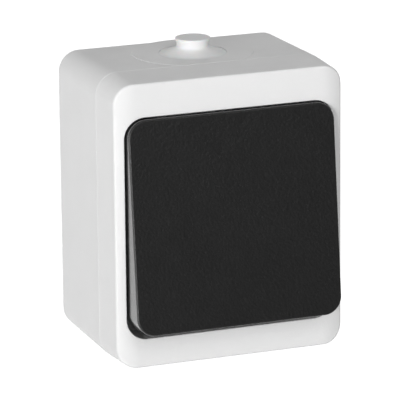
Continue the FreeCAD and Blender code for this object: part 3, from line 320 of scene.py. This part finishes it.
@dataclass(frozen=True)
class SoftRubber:
    """Moulded rubber or soft thermoplastic.

    Sizes and depths are in metres.

    Attributes:
        slot: The material slot that it belongs to.
        colour: Its mean colour.
        roughness: Its mean roughness.
        unevenness: How far its roughness strays from the mean.
        specular: Strength of its reflection.
        sheen: Strength of the pale bloom at grazing angles.
        scatter: How much light passes into it.
        scatter_depth: How far that light goes.
        mottle: How far its tone strays from the mean.
        cloud: Size of the clouds in its tone.
        skin: Size of the lumps of its skin.
        skin_depth: Depth of those lumps.
    """

    slot: Slot
    colour: Colour
    roughness: float
    unevenness: float = 0.05
    specular: float = 0.35
    sheen: float = 0.0
    scatter: float = 0.0
    scatter_depth: float = 0.0012
    mottle: float = 0.03
    cloud: float = 0.004
    skin: float = 0.0006
    skin_depth: float = 0.000012

    def build(self) -> bpy.types.Material:
        """Makes the material.

        Returns:
            The material.
        """
        graph = ShaderGraph(self.slot.value)
        graph.set(Specular_IOR_Level=self.specular, Sheen_Weight=self.sheen,
                  Subsurface_Weight=self.scatter, Subsurface_Scale=self.scatter_depth)
        cloud = graph.noise(self.cloud, detail=4.0)
        graph.tones(graph.spread(cloud, 0.0, 1.0),
                    toned(self.colour, 1 - self.mottle), toned(self.colour, 1 + self.mottle))
        graph.roughen(graph.spread(cloud, self.roughness - self.unevenness,
                                   self.roughness + self.unevenness))
        graph.bump((graph.noise(self.skin, detail=4.0), self.skin_depth))
        return graph.material


@dataclass(frozen=True)
class WorkedMetal:
    """Stamped, drawn or plated metal with fine lines.

    Sizes and depths are in metres.

    Attributes:
        slot: The material slot that it belongs to.
        colour: Its mean colour.
        roughness: Its mean roughness.
        smoother: How much smoother its smoothest lines are.
        duller: How much duller its dullest lines are.
        line: Size of its lines along their length.
        line_depth: Depth of its lines.
        stretch: How much closer its lines stand along each axis.
        stain: Size of its stains.
        darkest: Tone of its darkest stains, 1 being the mean.
        lightest: Tone of its lightest places.
    """

    slot: Slot
    colour: Colour
    roughness: float
    smoother: float = 0.08
    duller: float = 0.1
    line: float = 0.0012
    line_depth: float = 0.000004
    stretch: tuple[float, float, float] = (1.0, 1.0, 12.0)
    stain: float = 0.003
    darkest: float = 0.85
    lightest: float = 1.05

    def build(self) -> bpy.types.Material:
        """Makes the material.

        Returns:
            The material.
        """
        graph = ShaderGraph(self.slot.value)
        graph.set(Metallic=1.0)
        stain = graph.noise(self.stain, detail=5.0)
        graph.tones(graph.spread(stain, 0.0, 1.0),
                    toned(self.colour, self.darkest), toned(self.colour, self.lightest))
        lines = graph.noise(self.line, detail=3.0, stretch=self.stretch)
        graph.roughen(graph.spread(lines, self.roughness - self.smoother, self.roughness + self.duller))
        graph.bump((lines, self.line_depth))
        return graph.material


FINISHES = {
    finish.slot: finish
    for finish in (
        MouldedPlastic(Slot.GREY_PLASTIC, (0.803, 0.803, 0.803), 0.40, 0.50,
                       specular=0.4, mottle=0.008),
        MouldedPlastic(Slot.BLACK_PLASTIC, (0.0042, 0.0042, 0.0042), 0.40, 0.44,
                       grain=0.0005, grain_depth=0.00009, flow=0.000002, mottle=0.25),
        MouldedPlastic(Slot.INSERT_PLASTIC, (0.66, 0.67, 0.66), 0.40, 0.52),
        MouldedPlastic(Slot.CARRIER_PLASTIC, (0.50, 0.51, 0.53), 0.42, 0.55),
        MouldedPlastic(Slot.PLUNGER_PLASTIC, (0.80, 0.79, 0.74), 0.30, 0.40, grain_depth=0.000004),
        SoftRubber(Slot.ENTRY_RUBBER, (0.865, 0.865, 0.865), 0.50, sheen=0.05, scatter=0.15),
        SoftRubber(Slot.DARK_RUBBER, (0.03, 0.03, 0.031), 0.62, sheen=0.1),
        WorkedMetal(Slot.STEEL, (0.62, 0.61, 0.58), 0.32),
        WorkedMetal(Slot.SPRING_STEEL, (0.55, 0.55, 0.56), 0.28),
        WorkedMetal(Slot.CONTACT_METAL, (0.80, 0.60, 0.40), 0.30),
        WorkedMetal(Slot.BRASS, (0.80, 0.62, 0.33), 0.30),
    )
}

ROCKER_FLANK = MouldedPlastic(Slot.BLACK_PLASTIC, (0.009, 0.009, 0.009), 0.14, 0.20, specular=0.8,
                              grain_depth=0.000001, mottle=0.15, polish=1.0, place="_flank")


@dataclass
class Workshop:
    """Makes the finishes once and dresses pieces with them.

    Attributes:
        same_place: The distance under which two points become one, in metres.
        face_weight: How much the large faces rule the shading, up to 100.
        materials: The material of each slot that has been asked for.
    """

    same_place: float = 1e-7
    face_weight: int = 100
    materials: dict[Slot, bpy.types.Material] = field(default_factory=dict)

    def material(self, slot: Slot) -> bpy.types.Material:
        """Gives the material of a slot, made on first use.

        Args:
            slot: The slot.

        Returns:
            The material.
        """
        if slot not in self.materials:
            self.materials[slot] = FINISHES[slot].build()
        return self.materials[slot]

    def dress(self, piece: bpy.types.Object, slot: Slot) -> None:
        """Gives a piece one finish in place of those that it has.

        Args:
            piece: The object.
            slot: The slot of its finish.
        """
        piece.data.materials.clear()
        piece.data.materials.append(self.material(slot))

    def deliver(self, name: str, form: bmesh.types.BMesh, slot: Slot, body: Body, node_name: str,
                trims: tuple[MouldedPlastic, ...] = (), crease: float = 180.0) -> bpy.types.Object:
        """Turns a finished form into a piece that rides on a body.

        Args:
            name: The name of the piece.
            form: Its form, which is used up.
            slot: The slot of its first finish.
            body: The body that it rides on.
            node_name: The CAD node that it stands for.
            trims: Its further finishes, in the order of the form's material numbers.
            crease: The angle between two faces above which their edge is sharp, in degrees.

        Returns:
            The piece.
        """
        bmesh.ops.remove_doubles(form, verts=form.verts, dist=self.same_place)
        bmesh.ops.recalc_face_normals(form, faces=form.faces)
        for face in form.faces:
            face.smooth = True
        mesh = bpy.data.meshes.new(name)
        piece = bpy.data.objects.new(name, mesh)
        bpy.context.scene.collection.objects.link(piece)
        # Clearing the finishes sets each face's number to 0, so the form comes after them.
        self.dress(piece, slot)
        for trim in trims:
            mesh.materials.append(trim.build())
        form.to_mesh(mesh)
        form.free()
        mesh.set_sharp_from_angle(angle=math.radians(crease))
        even = piece.modifiers.new("even_shading", "WEIGHTED_NORMAL")
        even.weight = self.face_weight
        even.keep_sharp = True
        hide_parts(node_name)
        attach(piece, body.value)
        return piece


def even_turns(steps: int) -> list[float]:
    """Gives the angles of even steps round a circle, in radians."""
    return [2 * math.pi * step / steps for step in range(steps)]


def join_rings(form: bmesh.types.BMesh, before: Ring, after: Ring, finish: int = 0) -> None:
    """Adds the faces between two rings of a form.

    Args:
        form: The form.
        before: The points of the one ring.
        after: The points of the other ring, just as many.
        finish: The number of the faces' finish.
    """
    for place, corner in enumerate(after):
        beside = (place + 1) % len(after)
        face = form.faces.new((before[place], before[beside], after[beside], corner))
        face.material_index = finish


class KeyFinish(Enum):
    """Numbers of the key's finishes."""

    GRAINED = 0
    POLISHED = 1


@dataclass(frozen=True)
class Band:
    """One ring of the key and the faces that lead to it from the ring before.

    Attributes:
        inset: How far the ring lies inside the outline, in millimetres.
        depth: How far it lies behind the front, in millimetres.
        finish: The finish of the faces.
    """

    inset: float
    depth: float
    finish: KeyFinish


@dataclass
class RockerCap:
    """The big key: grained face with softly rounded edges, polished flanks and a hollow back.

    Lengths are in millimetres, in the key's own place before it is tilted.

    Attributes:
        workshop: The finishes.
        width: Its width.
        height: Its height.
        corner: The radius of its corners.
        inner_corner: The least radius of the corners of its inner rings.
        edge: The radius of the edge round its face.
        setback: How far its face lies in front of the pivot.
        skirt: The depth of its flanks.
        flank_ring: How far behind its face the flanks have a ring that keeps them flat.
        wall: The thickness of its flanks.
        plate: The thickness of its face.
        chamfer: The chamfer at the end of its flanks.
        fillet: The chamfer between its flanks and its plate, on the inside.
        tilt: How far it is tilted at rest, in degrees.
        corner_steps: The number of edges round each corner.
        edge_steps: The number of bands round the edge of its face.
        polished_steps: How many of those bands are polished as the flanks are.
    """

    workshop: Workshop
    width: float = 58.7
    height: float = 58.0
    corner: float = 5.0
    inner_corner: float = 0.4
    edge: float = 0.6
    setback: float = 12.0
    skirt: float = 9.2
    flank_ring: float = 2.4
    wall: float = 1.8
    plate: float = 2.2
    chamfer: float = 0.2
    fillet: float = 0.4
    tilt: float = 5.9
    corner_steps: int = 14
    edge_steps: int = 6
    polished_steps: int = 2

    def _bands(self) -> list[Band]:
        """Lists the bands from the border of the face, round the flanks, to the inside.

        Returns:
            The bands.
        """
        bands = []
        for step in range(self.edge_steps + 1):
            turn = math.pi / 2 * step / self.edge_steps
            polished = step > self.edge_steps - self.polished_steps
            bands.append(Band(self.edge * (1 - math.sin(turn)), self.edge * (1 - math.cos(turn)),
                              KeyFinish.POLISHED if polished else KeyFinish.GRAINED))
        return bands + [
            Band(0.0, self.flank_ring, KeyFinish.POLISHED),
            Band(0.0, self.skirt - self.chamfer, KeyFinish.POLISHED),
            Band(self.chamfer, self.skirt, KeyFinish.POLISHED),
            Band(self.wall - self.chamfer, self.skirt, KeyFinish.POLISHED),
            Band(self.wall, self.skirt - self.chamfer, KeyFinish.POLISHED),
            Band(self.wall, self.plate + self.fillet, KeyFinish.GRAINED),
            Band(self.wall + self.fillet, self.plate, KeyFinish.GRAINED),
        ]

    def _ring(self, form: bmesh.types.BMesh, band: Band) -> Ring:
        """Adds the points of one band.

        Args:
            form: The form.
            band: The band.

        Returns:
            The points, corner by corner from the upper right.
        """
        radius = max(self.corner - band.inset, self.inner_corner)
        across = self.width / 2 - band.inset - radius
        up = self.height / 2 - band.inset - radius
        ring = []
        for quarter, (side, end) in enumerate(((1, 1), (-1, 1), (-1, -1), (1, -1))):
            for step in range(self.corner_steps + 1):
                turn = math.pi / 2 * (quarter + step / self.corner_steps)
                ring.append(form.verts.new((
                    (side * across + radius * math.cos(turn)) * MM,
                    (band.depth - self.setback) * MM,
                    (end * up + radius * math.sin(turn)) * MM)))
        return ring

    def build(self) -> bpy.types.Object:
        """Builds the key and tilts it about its pivot.

        Returns:
            The piece.
        """
        bands = self._bands()
        form = bmesh.new()
        rings = [self._ring(form, band) for band in bands]
        form.faces.new(rings[0])
        for band, before, after in zip(bands[1:], rings, rings[1:]):
            join_rings(form, before, after, band.finish.value)
        form.faces.new(rings[-1])
        pivot = Matrix.Translation(joint("rocker_pivot")["pos_m"])
        turn = Matrix.Rotation(-math.radians(self.tilt), 4, "X")
        bmesh.ops.transform(form, matrix=pivot @ turn, verts=form.verts)
        return self.workshop.deliver("rocker_cap", form, Slot.BLACK_PLASTIC, Body.ROCKER, "rocker",
                                     trims=(ROCKER_FLANK,))


@dataclass
class EntrySeal:
    """The soft seal of the cable entry: thin lip, shallow cone and closed stub, turned in one piece.

    Lengths are in millimetres.

    Attributes:
        workshop: The finishes.
        depth: How far its axis lies in front of the wall.
        level: The height of the ring that its lip lies in.
        steps: The number of edges round it.
        outline: The radius of each point of its section and the point's height above that ring.
    """

    workshop: Workshop
    depth: float = 17.0
    level: float = 39.10
    steps: int = 72
    outline: tuple[tuple[float, float], ...] = (
        (0.0, 3.5), (2.6, 3.5), (2.8, 3.3), (2.8, -3.9), (7.8, -3.9), (8.0, -3.7), (8.0, -2.4),
        (7.9, -2.31), (6.45, -2.31), (6.45, 0.0), (9.0, 0.0), (9.15, 0.08), (9.18, 0.2),
        (9.16, 0.34), (9.0, 0.42), (8.4, 0.45), (8.0, 0.54), (7.0, 0.92), (5.9, 1.32),
        (5.15, 1.62), (4.72, 1.86), (4.48, 2.08), (4.4, 2.36), (4.4, 2.75), (4.52, 3.45),
        (4.68, 3.95), (4.8, 4.2), (4.81, 4.38), (4.73, 4.5), (4.56, 4.58), (4.1, 4.6),
        (2.4, 4.56), (0.0, 4.54))

    def build(self) -> bpy.types.Object:
        """Turns the section about the seal's axis.

        Returns:
            The piece.
        """
        form = bmesh.new()
        rings = []
        for radius, height in self.outline:
            rings.append([form.verts.new((radius * math.cos(turn) * MM,
                                          (radius * math.sin(turn) - self.depth) * MM,
                                          (self.level + height) * MM))
                          for turn in even_turns(self.steps)])
        for before, after in zip(rings, rings[1:]):
            join_rings(form, before, after)
        return self.workshop.deliver("entry_seal", form, Slot.ENTRY_RUBBER, Body.HOUSING,
                                     "cable_grommet")


@dataclass
class CoverShell:
    """The front cover as it is moulded: softly rounded along its sides, its well with tight corners.

    It is made from the cover's solid, whose edge and well corners are drawn to their true radii.
    Lengths are in millimetres.

    Attributes:
        workshop: The finishes.
        seam_half: Half the width and half the height at the seam.
        corner: The radius of its corners at the seam.
        seam: The depth of the seam.
        front: The depth of its front.
        draft: The draft of its sides, in degrees.
        roll_width: The width of the roll along each side.
        roll_radius: The radius of that roll.
        edge: The radius of the front edge of the solid.
        side_edge: The true radius of that edge along the sides.
        end_edge: Its true radius along the top and bottom.
        edge_rounds: The number of rounds in which the place of that edge is found.
        edge_slack: How near a point lies to the edge or the front that it belongs to.
        reach: How far from the edge the front gives way to it.
        opening_half: Half the width and half the height of the well.
        well_level: The height of the middle of the well.
        well_floor: The depth of its floor.
        well_slack: How near a point lies to the well's wall or rim that it belongs to.
        solid_corner: The radius of the well's corners in the solid.
        well_corner: Their true radius.
        rim: The radius of the edge round the well.
        crease: The angle above which an edge is sharp, in degrees.
    """

    workshop: Workshop
    seam_half: tuple[float, float] = (33.0, 39.5)
    corner: float = 6.1
    seam: float = 31.0
    front: float = 44.2
    draft: float = 2.6
    roll_width: float = 6.0
    roll_radius: float = 15.3
    edge: float = 0.4
    side_edge: float = 0.9
    end_edge: float = 0.6
    edge_rounds: int = 3
    edge_slack: float = 0.02
    reach: float = 2.2
    opening_half: tuple[float, float] = (29.75, 30.35)
    well_level: float = -0.65
    well_floor: float = 35.4
    well_slack: float = 0.05
    solid_corner: float = 6.4
    well_corner: float = 5.6
    rim: float = 0.25
    crease: float = 38.0

    def _front_at(self, across: float) -> float:
        """Finds the depth of the front surface.

        Args:
            across: The distance to the right of the middle.

        Returns:
            The depth there.
        """
        slope = math.tan(math.radians(self.draft))
        start = self.seam_half[0] - (self.front - self.seam) * slope - self.roll_width
        past = max(abs(across) - start, 0.0)
        return self.front - self.roll_radius + math.sqrt(self.roll_radius ** 2 - past ** 2)

    def _outline(self, across: float, up: float) -> tuple[float, Vector]:
        """Measures a point against the outline at the seam.

        Args:
            across: The point's distance to the right of the middle.
            up: Its height.

        Returns:
            How far it lies inside the outline, and the direction from it to the outline.
        """
        past = Vector((abs(across) - self.seam_half[0] + self.corner,
                       abs(up) - self.seam_half[1] + self.corner))
        if past.x > 0 and past.y > 0:
            inset = self.corner - past.length
            way = past.normalized()
        elif past.x > past.y:
            inset = self.corner - past.x
            way = Vector((1.0, 0.0))
        else:
            inset = self.corner - past.y
            way = Vector((0.0, 1.0))
        return inset, Vector((math.copysign(way.x, across), math.copysign(way.y, up)))

    def _soften(self, point: Vector) -> Vector:
        """Moves a point of the front edge, or of the front beside it, to the softer edge.

        Args:
            point: A point of the solid.

        Returns:
            Its new place, or the same where it lies elsewhere.
        """
        slope = math.tan(math.radians(self.draft))
        inset, way = self._outline(point.x, point.z)
        depth = self._front_at(point.x)
        for _ in range(self.edge_rounds):
            short = inset - (depth - self.seam) * slope
            border = Vector((point.x + way.x * short, 0.0, point.z + way.y * short))
            depth = self._front_at(border.x)
        border.y = -depth
        radius = self.end_edge + (self.side_edge - self.end_edge) * way.x ** 2
        if (point - border).length < self.edge + self.edge_slack:
            return border + (point - border) * (radius / self.edge)
        on_front = abs(-point.y - self._front_at(point.x)) < self.edge_slack
        if on_front and short < self.reach:
            share = (self.reach - radius) / (self.reach - self.edge)
            moved = radius + (short - self.edge) * share - short
            across = point.x - way.x * moved
            return Vector((across, -self._front_at(across), point.z - way.y * moved))
        return point

    def _tighten(self, point: Vector) -> Vector:
        """Moves a point of the well's corners, on their wall or rim, out to the tighter corner.

        Args:
            point: A point of the solid.

        Returns:
            Its new place, or the same where it lies elsewhere.
        """
        middle = Vector((self.opening_half[0] - self.solid_corner,
                         self.opening_half[1] - self.solid_corner))
        past = Vector((abs(point.x), abs(point.z - self.well_level))) - middle
        beyond = past.length - self.solid_corner
        on_wall = -self.well_slack < beyond < self.rim + self.well_slack
        if min(past) <= 0 or not on_wall or -point.y < self.well_floor - self.well_slack:
            return point
        shift = self.solid_corner - self.well_corner
        way = past.normalized()
        if min(way) * self.solid_corner < shift * max(way):
            outline = self.solid_corner / max(way)
        else:
            along = shift * (way.x + way.y)
            outline = along + math.sqrt(along ** 2 - 2 * shift ** 2 + self.well_corner ** 2)
        place = middle + way * (outline + beyond)
        across = math.copysign(place.x, point.x)
        up = math.copysign(place.y, point.z - self.well_level) + self.well_level
        near_rim = -point.y > self._front_at(point.x) - 2 * self.rim
        sag = self._front_at(point.x) - self._front_at(across) if near_rim else 0.0
        return Vector((across, point.y + sag, up))

    def build(self) -> bpy.types.Object:
        """Draws the solid's points to their true places.

        Returns:
            The piece.
        """
        solid = frame["nodes"]["front_cover"].data
        form = bmesh.new()
        points = []
        for vertex in solid.vertices:
            place = self._tighten(self._soften(vertex.co / MM))
            points.append(form.verts.new(place * MM))
        for polygon in solid.polygons:
            form.faces.new([points[index] for index in polygon.vertices])
        return self.workshop.deliver("cover_shell", form, Slot.GREY_PLASTIC, Body.HOUSING,
                                     "front_cover", crease=self.crease)


@dataclass
class CoilSpring:
    """The plunger's spring: round wire, wound between the end of the stem and the plunger.

    Lengths are in millimetres.

    Attributes:
        workshop: The finishes.
        coil: The radius of its coil.
        wire: The radius of its wire.
        turns: The number of its turns.
        steps: The number of sections in a turn.
        sides: The number of sides of a section.
        crease: The angle above which an edge is sharp, in degrees.
    """

    workshop: Workshop
    coil: float = 1.4
    wire: float = 0.235
    turns: int = 5
    steps: int = 32
    sides: int = 10
    crease: float = 60.0

    def _section(self, form: bmesh.types.BMesh, heart: Vector, out: Vector, axis: Vector) -> Ring:
        """Adds the points of one section of the wire.

        Args:
            form: The form.
            heart: The middle of the section, in metres.
            out: The direction from the coil's axis to the section.
            axis: The direction of the coil's axis.

        Returns:
            The points.
        """
        ring = []
        for angle in even_turns(self.sides):
            towards = math.cos(angle) * out + math.sin(angle) * axis
            ring.append(form.verts.new(heart + towards * self.wire * MM))
        return ring

    def build(self) -> bpy.types.Object:
        """Winds the spring.

        Returns:
            The piece.
        """
        slide = joint("plunger_slide")
        axis = Vector(slide["axis"]).normalized()
        side = Vector((1.0, 0.0, 0.0))
        above = axis.cross(side)
        solid = frame["nodes"]["plunger_spring"].data
        middle = sum((vertex.co for vertex in solid.vertices), Vector()) / len(solid.vertices)
        places = [(vertex.co - middle).dot(axis) for vertex in solid.vertices]
        first, last = min(places), max(places)
        length = last - first - 2 * self.wire * MM
        form = bmesh.new()
        rings = []
        for step in range(self.turns * self.steps + 1):
            turn = 2 * math.pi * step / self.steps
            out = math.cos(turn) * side + math.sin(turn) * above
            along = first + self.wire * MM + length * step / (self.turns * self.steps)
            heart = middle + axis * along + out * self.coil * MM
            rings.append(self._section(form, heart, out, axis))
        for before, after in zip(rings, rings[1:]):
            join_rings(form, before, after)
        form.faces.new(rings[0])
        form.faces.new(rings[-1])
        piece = self.workshop.deliver("coil_spring", form, Slot.SPRING_STEEL, Body.ROCKER,
                                      "plunger_spring", crease=self.crease)
        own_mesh(piece)
        return piece


@dataclass(frozen=True)
class View:
    """The photograph's view, found by fitting the outline of the box.

    Attributes:
        target: The point that the camera was fitted about, in metres.
        distance: The distance of the camera from that point along its line of sight.
        yaw: How far the camera looks to the right of straight into the wall, in degrees.
        pitch: How far it looks down, in degrees.
        roll: Its turn about the line of sight, in degrees.
        focal: Its focal length in pixels.
        width: The width of the picture in pixels.
        centre: Where the target falls in the picture, in pixels.
        sensor: The width of the camera's sensor, in millimetres.
        far: How far the camera sees, in metres.
    """

    target: tuple[float, float, float] = (0.0, -0.021608, 0.0)
    distance: float = 1.00379
    yaw: float = 21.138
    pitch: float = 15.098
    roll: float = -0.560
    focal: float = 3687.9
    width: float = 400.0
    centre: tuple[float, float] = (200.275, 197.099)
    sensor: float = 36.0
    far: float = 20.0

    def build(self) -> bpy.types.Object:
        """Makes the camera and puts it where the photograph was taken from.

        Returns:
            The camera.
        """
        yaw, pitch, roll = (math.radians(angle) for angle in (self.yaw, self.pitch, self.roll))
        ahead = Vector((math.sin(yaw) * math.cos(pitch), math.cos(yaw) * math.cos(pitch),
                        -math.sin(pitch)))
        level = Vector((math.cos(yaw), -math.sin(yaw), 0.0))
        above = level.cross(ahead)
        right = math.cos(roll) * level + math.sin(roll) * above
        up = math.cos(roll) * above - math.sin(roll) * level
        scale = self.distance / self.focal
        place = Vector(self.target) - self.distance * ahead
        place -= (self.centre[0] - self.width / 2) * scale * right
        place += (self.centre[1] - self.width / 2) * scale * up
        data = bpy.data.cameras.new("photo_view")
        data.sensor_width = self.sensor
        data.lens = self.focal / self.width * self.sensor
        data.clip_end = self.far
        camera = bpy.data.objects.new("photo_view", data)
        bpy.context.scene.collection.objects.link(camera)
        turn = Matrix((right, up, -ahead)).transposed()
        camera.matrix_world = Matrix.Translation(place) @ turn.to_4x4()
        bpy.context.scene.camera = camera
        return camera


@dataclass(frozen=True)
class Lamp:
    """A soft square lamp that points at the switch.

    Attributes:
        name: Its name.
        direction: From the switch to the lamp.
        distance: Its distance, in metres.
        size: The length of its sides, in metres.
        level: How bright a white surface that faces it becomes, 1 being white.
    """

    name: str
    direction: tuple[float, float, float]
    distance: float
    size: float
    level: float

    def build(self) -> bpy.types.Object:
        """Makes the lamp.

        Returns:
            The lamp.
        """
        data = bpy.data.lights.new(self.name, "AREA")
        data.size = self.size
        # A facing white surface sends back the energy over pi squared and the squared distance.
        data.energy = self.level * math.pi ** 2 * self.distance ** 2
        lamp = bpy.data.objects.new(self.name, data)
        bpy.context.scene.collection.objects.link(lamp)
        towards = Vector(self.direction).normalized()
        lamp.location = towards * self.distance
        lamp.rotation_euler = towards.to_track_quat("Z", "Y").to_euler()
        return lamp


@dataclass(frozen=True)
class Studio:
    """White surroundings, soft lamps and a pale floor below the switch.

    Lengths are in metres.

    Attributes:
        ambient: Light from all round, 1 being white.
        mirrored_front: How bright glossy surfaces see the dim room in front of the switch.
        mirrored_back: How bright they see the white sweep behind it.
        sweep: Where the room starts and ends to turn white, from -1 in front to 1 behind.
        lamps: The lamps.
        floor_level: Height of the floor.
        floor_half: Half the width of the floor.
        floor_colour: Colour of the floor.
        floor_mottle: How far its tone strays from that colour.
        floor_cloud: Size of the clouds in its tone.
        floor_roughness: Roughness of the floor.
        floor_glow: What the floor adds to itself in the camera's eye.
        white_side: Towards the part of the floor that glossy surfaces see as white.
        white_blend: How soft the border of that part is.
    """

    ambient: float = 0.28
    mirrored_front: float = 0.10
    mirrored_back: float = 1.0
    sweep: tuple[float, float] = (-0.8, 0.6)
    lamps: tuple[Lamp, ...] = (
        Lamp("key", (-0.70, -0.71, 0.05), 2.4, 0.7, 0.62),
        Lamp("front_top", (0.0, -0.84, 0.54), 0.6, 0.3, 0.25),
    )
    floor_level: float = -0.30
    floor_half: float = 6.0
    floor_colour: Colour = (0.9, 0.9, 0.9)
    floor_mottle: float = 0.01
    floor_cloud: float = 0.4
    floor_roughness: float = 0.9
    floor_glow: float = 0.9
    white_side: tuple[float, float, float] = (-2.0, 1.0, 0.0)
    white_blend: float = 0.3

    def build(self) -> None:
        """Makes the world, the lamps and the floor."""
        self._build_world()
        for lamp in self.lamps:
            lamp.build()
        self._build_floor()

    def _build_world(self) -> None:
        """Makes surroundings that look white and light the switch at the ambient level."""
        world = bpy.data.worlds.new("surroundings")
        bpy.context.scene.world = world
        world.use_nodes = True
        tree = world.node_tree
        light = tree.nodes["Background"]
        mirrored = tree.nodes.new("ShaderNodeBackground")
        seen = tree.nodes.new("ShaderNodeBackground")
        for background in (light, mirrored, seen):
            background.inputs["Color"].default_value = WHITE
        light.inputs["Strength"].default_value = self.ambient
        seen.inputs["Strength"].default_value = 1.0
        tree.links.new(self._mirrored_sweep(tree), mirrored.inputs["Strength"])
        path = tree.nodes.new("ShaderNodeLightPath")
        shader = light.outputs["Background"]
        for ray, other in (("Is Glossy Ray", mirrored), ("Is Transmission Ray", seen),
                           ("Is Camera Ray", seen)):
            mix = tree.nodes.new("ShaderNodeMixShader")
            tree.links.new(path.outputs[ray], mix.inputs["Fac"])
            tree.links.new(shader, mix.inputs[1])
            tree.links.new(other.outputs["Background"], mix.inputs[2])
            shader = mix.outputs["Shader"]
        tree.links.new(shader, tree.nodes["World Output"].inputs["Surface"])

    def _mirrored_sweep(self, tree: bpy.types.NodeTree) -> Socket:
        """Adds the brightness that reflections meet, from the dim front to the white sweep behind.

        Args:
            tree: The world's nodes.

        Returns:
            The socket of the brightness.
        """
        place = tree.nodes.new("ShaderNodeTexCoord")
        split = tree.nodes.new("ShaderNodeSeparateXYZ")
        tree.links.new(place.outputs["Generated"], split.inputs["Vector"])
        return map_range(tree, split.outputs["Y"], self.mirrored_front, self.mirrored_back,
                         *self.sweep, easing="SMOOTHSTEP")

    def _build_floor(self) -> None:
        """Makes the floor, which glows in the camera's eye so that it looks white."""
        mesh = bpy.data.meshes.new("floor")
        half, level = self.floor_half, self.floor_level
        corners = [(-half, -half, level), (half, -half, level), (half, half, level),
                   (-half, half, level)]
        mesh.from_pydata(corners, [], [(0, 1, 2, 3)])
        floor = bpy.data.objects.new("floor", mesh)
        bpy.context.scene.collection.objects.link(floor)
        graph = ShaderGraph("floor_paper")
        graph.set(Roughness=self.floor_roughness, Specular_IOR_Level=0.0)
        graph.tones(graph.noise(self.floor_cloud), toned(self.floor_colour, 1 - self.floor_mottle),
                    toned(self.floor_colour, 1 + self.floor_mottle))
        glow = graph.tree.nodes.new("ShaderNodeEmission")
        glow.inputs["Color"].default_value = WHITE
        strength = graph.spread(self._seen(graph), 0.0, self.floor_glow, start=0.0, end=1.0)
        graph.tree.links.new(strength, glow.inputs["Strength"])
        both = graph.tree.nodes.new("ShaderNodeAddShader")
        graph.tree.links.new(graph.shader.outputs["BSDF"], both.inputs[0])
        graph.tree.links.new(glow.outputs["Emission"], both.inputs[1])
        output = graph.tree.nodes["Material Output"]
        graph.tree.links.new(both.outputs["Shader"], output.inputs["Surface"])
        mesh.materials.append(graph.material)

    def _seen(self, graph: ShaderGraph) -> Socket:
        """Adds a value that is 1 to the camera, and to reflections on the white side of the floor.

        Args:
            graph: The floor's material.

        Returns:
            The socket of the value.
        """
        path = graph.tree.nodes.new("ShaderNodeLightPath")
        side = graph.tree.nodes.new("ShaderNodeVectorMath")
        side.operation = "DOT_PRODUCT"
        side.inputs[1].default_value = self.white_side
        graph.tree.links.new(graph.place, side.inputs[0])
        white = graph.spread(side.outputs["Value"], 0.0, 1.0,
                             start=-self.white_blend, end=self.white_blend)
        mirrored = graph.combine("MULTIPLY", path.outputs["Is Glossy Ray"], white)
        through = graph.combine("MAXIMUM", path.outputs["Is Transmission Ray"], mirrored)
        return graph.combine("MAXIMUM", path.outputs["Is Camera Ray"], through)


@dataclass
class CarriedNodes:
    """The CAD nodes, which stay as they are and only get a finish.

    Attributes:
        workshop: The finishes.
    """

    workshop: Workshop

    def dress(self) -> list[str]:
        """Gives every CAD node the finish of its slot in the record.

        Returns:
            The names of the nodes.
        """
        names = []
        for row in frame["record"]["subparts"]:
            self.workshop.dress(frame["nodes"][row["node"]], Slot(row["material_slot"]))
            names.append(row["node"])
        return names


def main() -> None:
    """Builds the scene and reports each piece."""
    logging.basicConfig(level=logging.INFO, format="%(message)s")
    bpy.context.scene.view_settings.view_transform = "Standard"
    View().build()
    Studio().build()
    workshop = Workshop()
    for name in CarriedNodes(workshop).dress():
        LOG.info("node %s dressed", name)
    for part in (CoverShell(workshop), RockerCap(workshop), EntrySeal(workshop), CoilSpring(workshop)):
        piece = part.build()
        LOG.info("piece %s with %d faces", piece.name, len(piece.data.polygons))


if __name__ == "__main__":
    main()
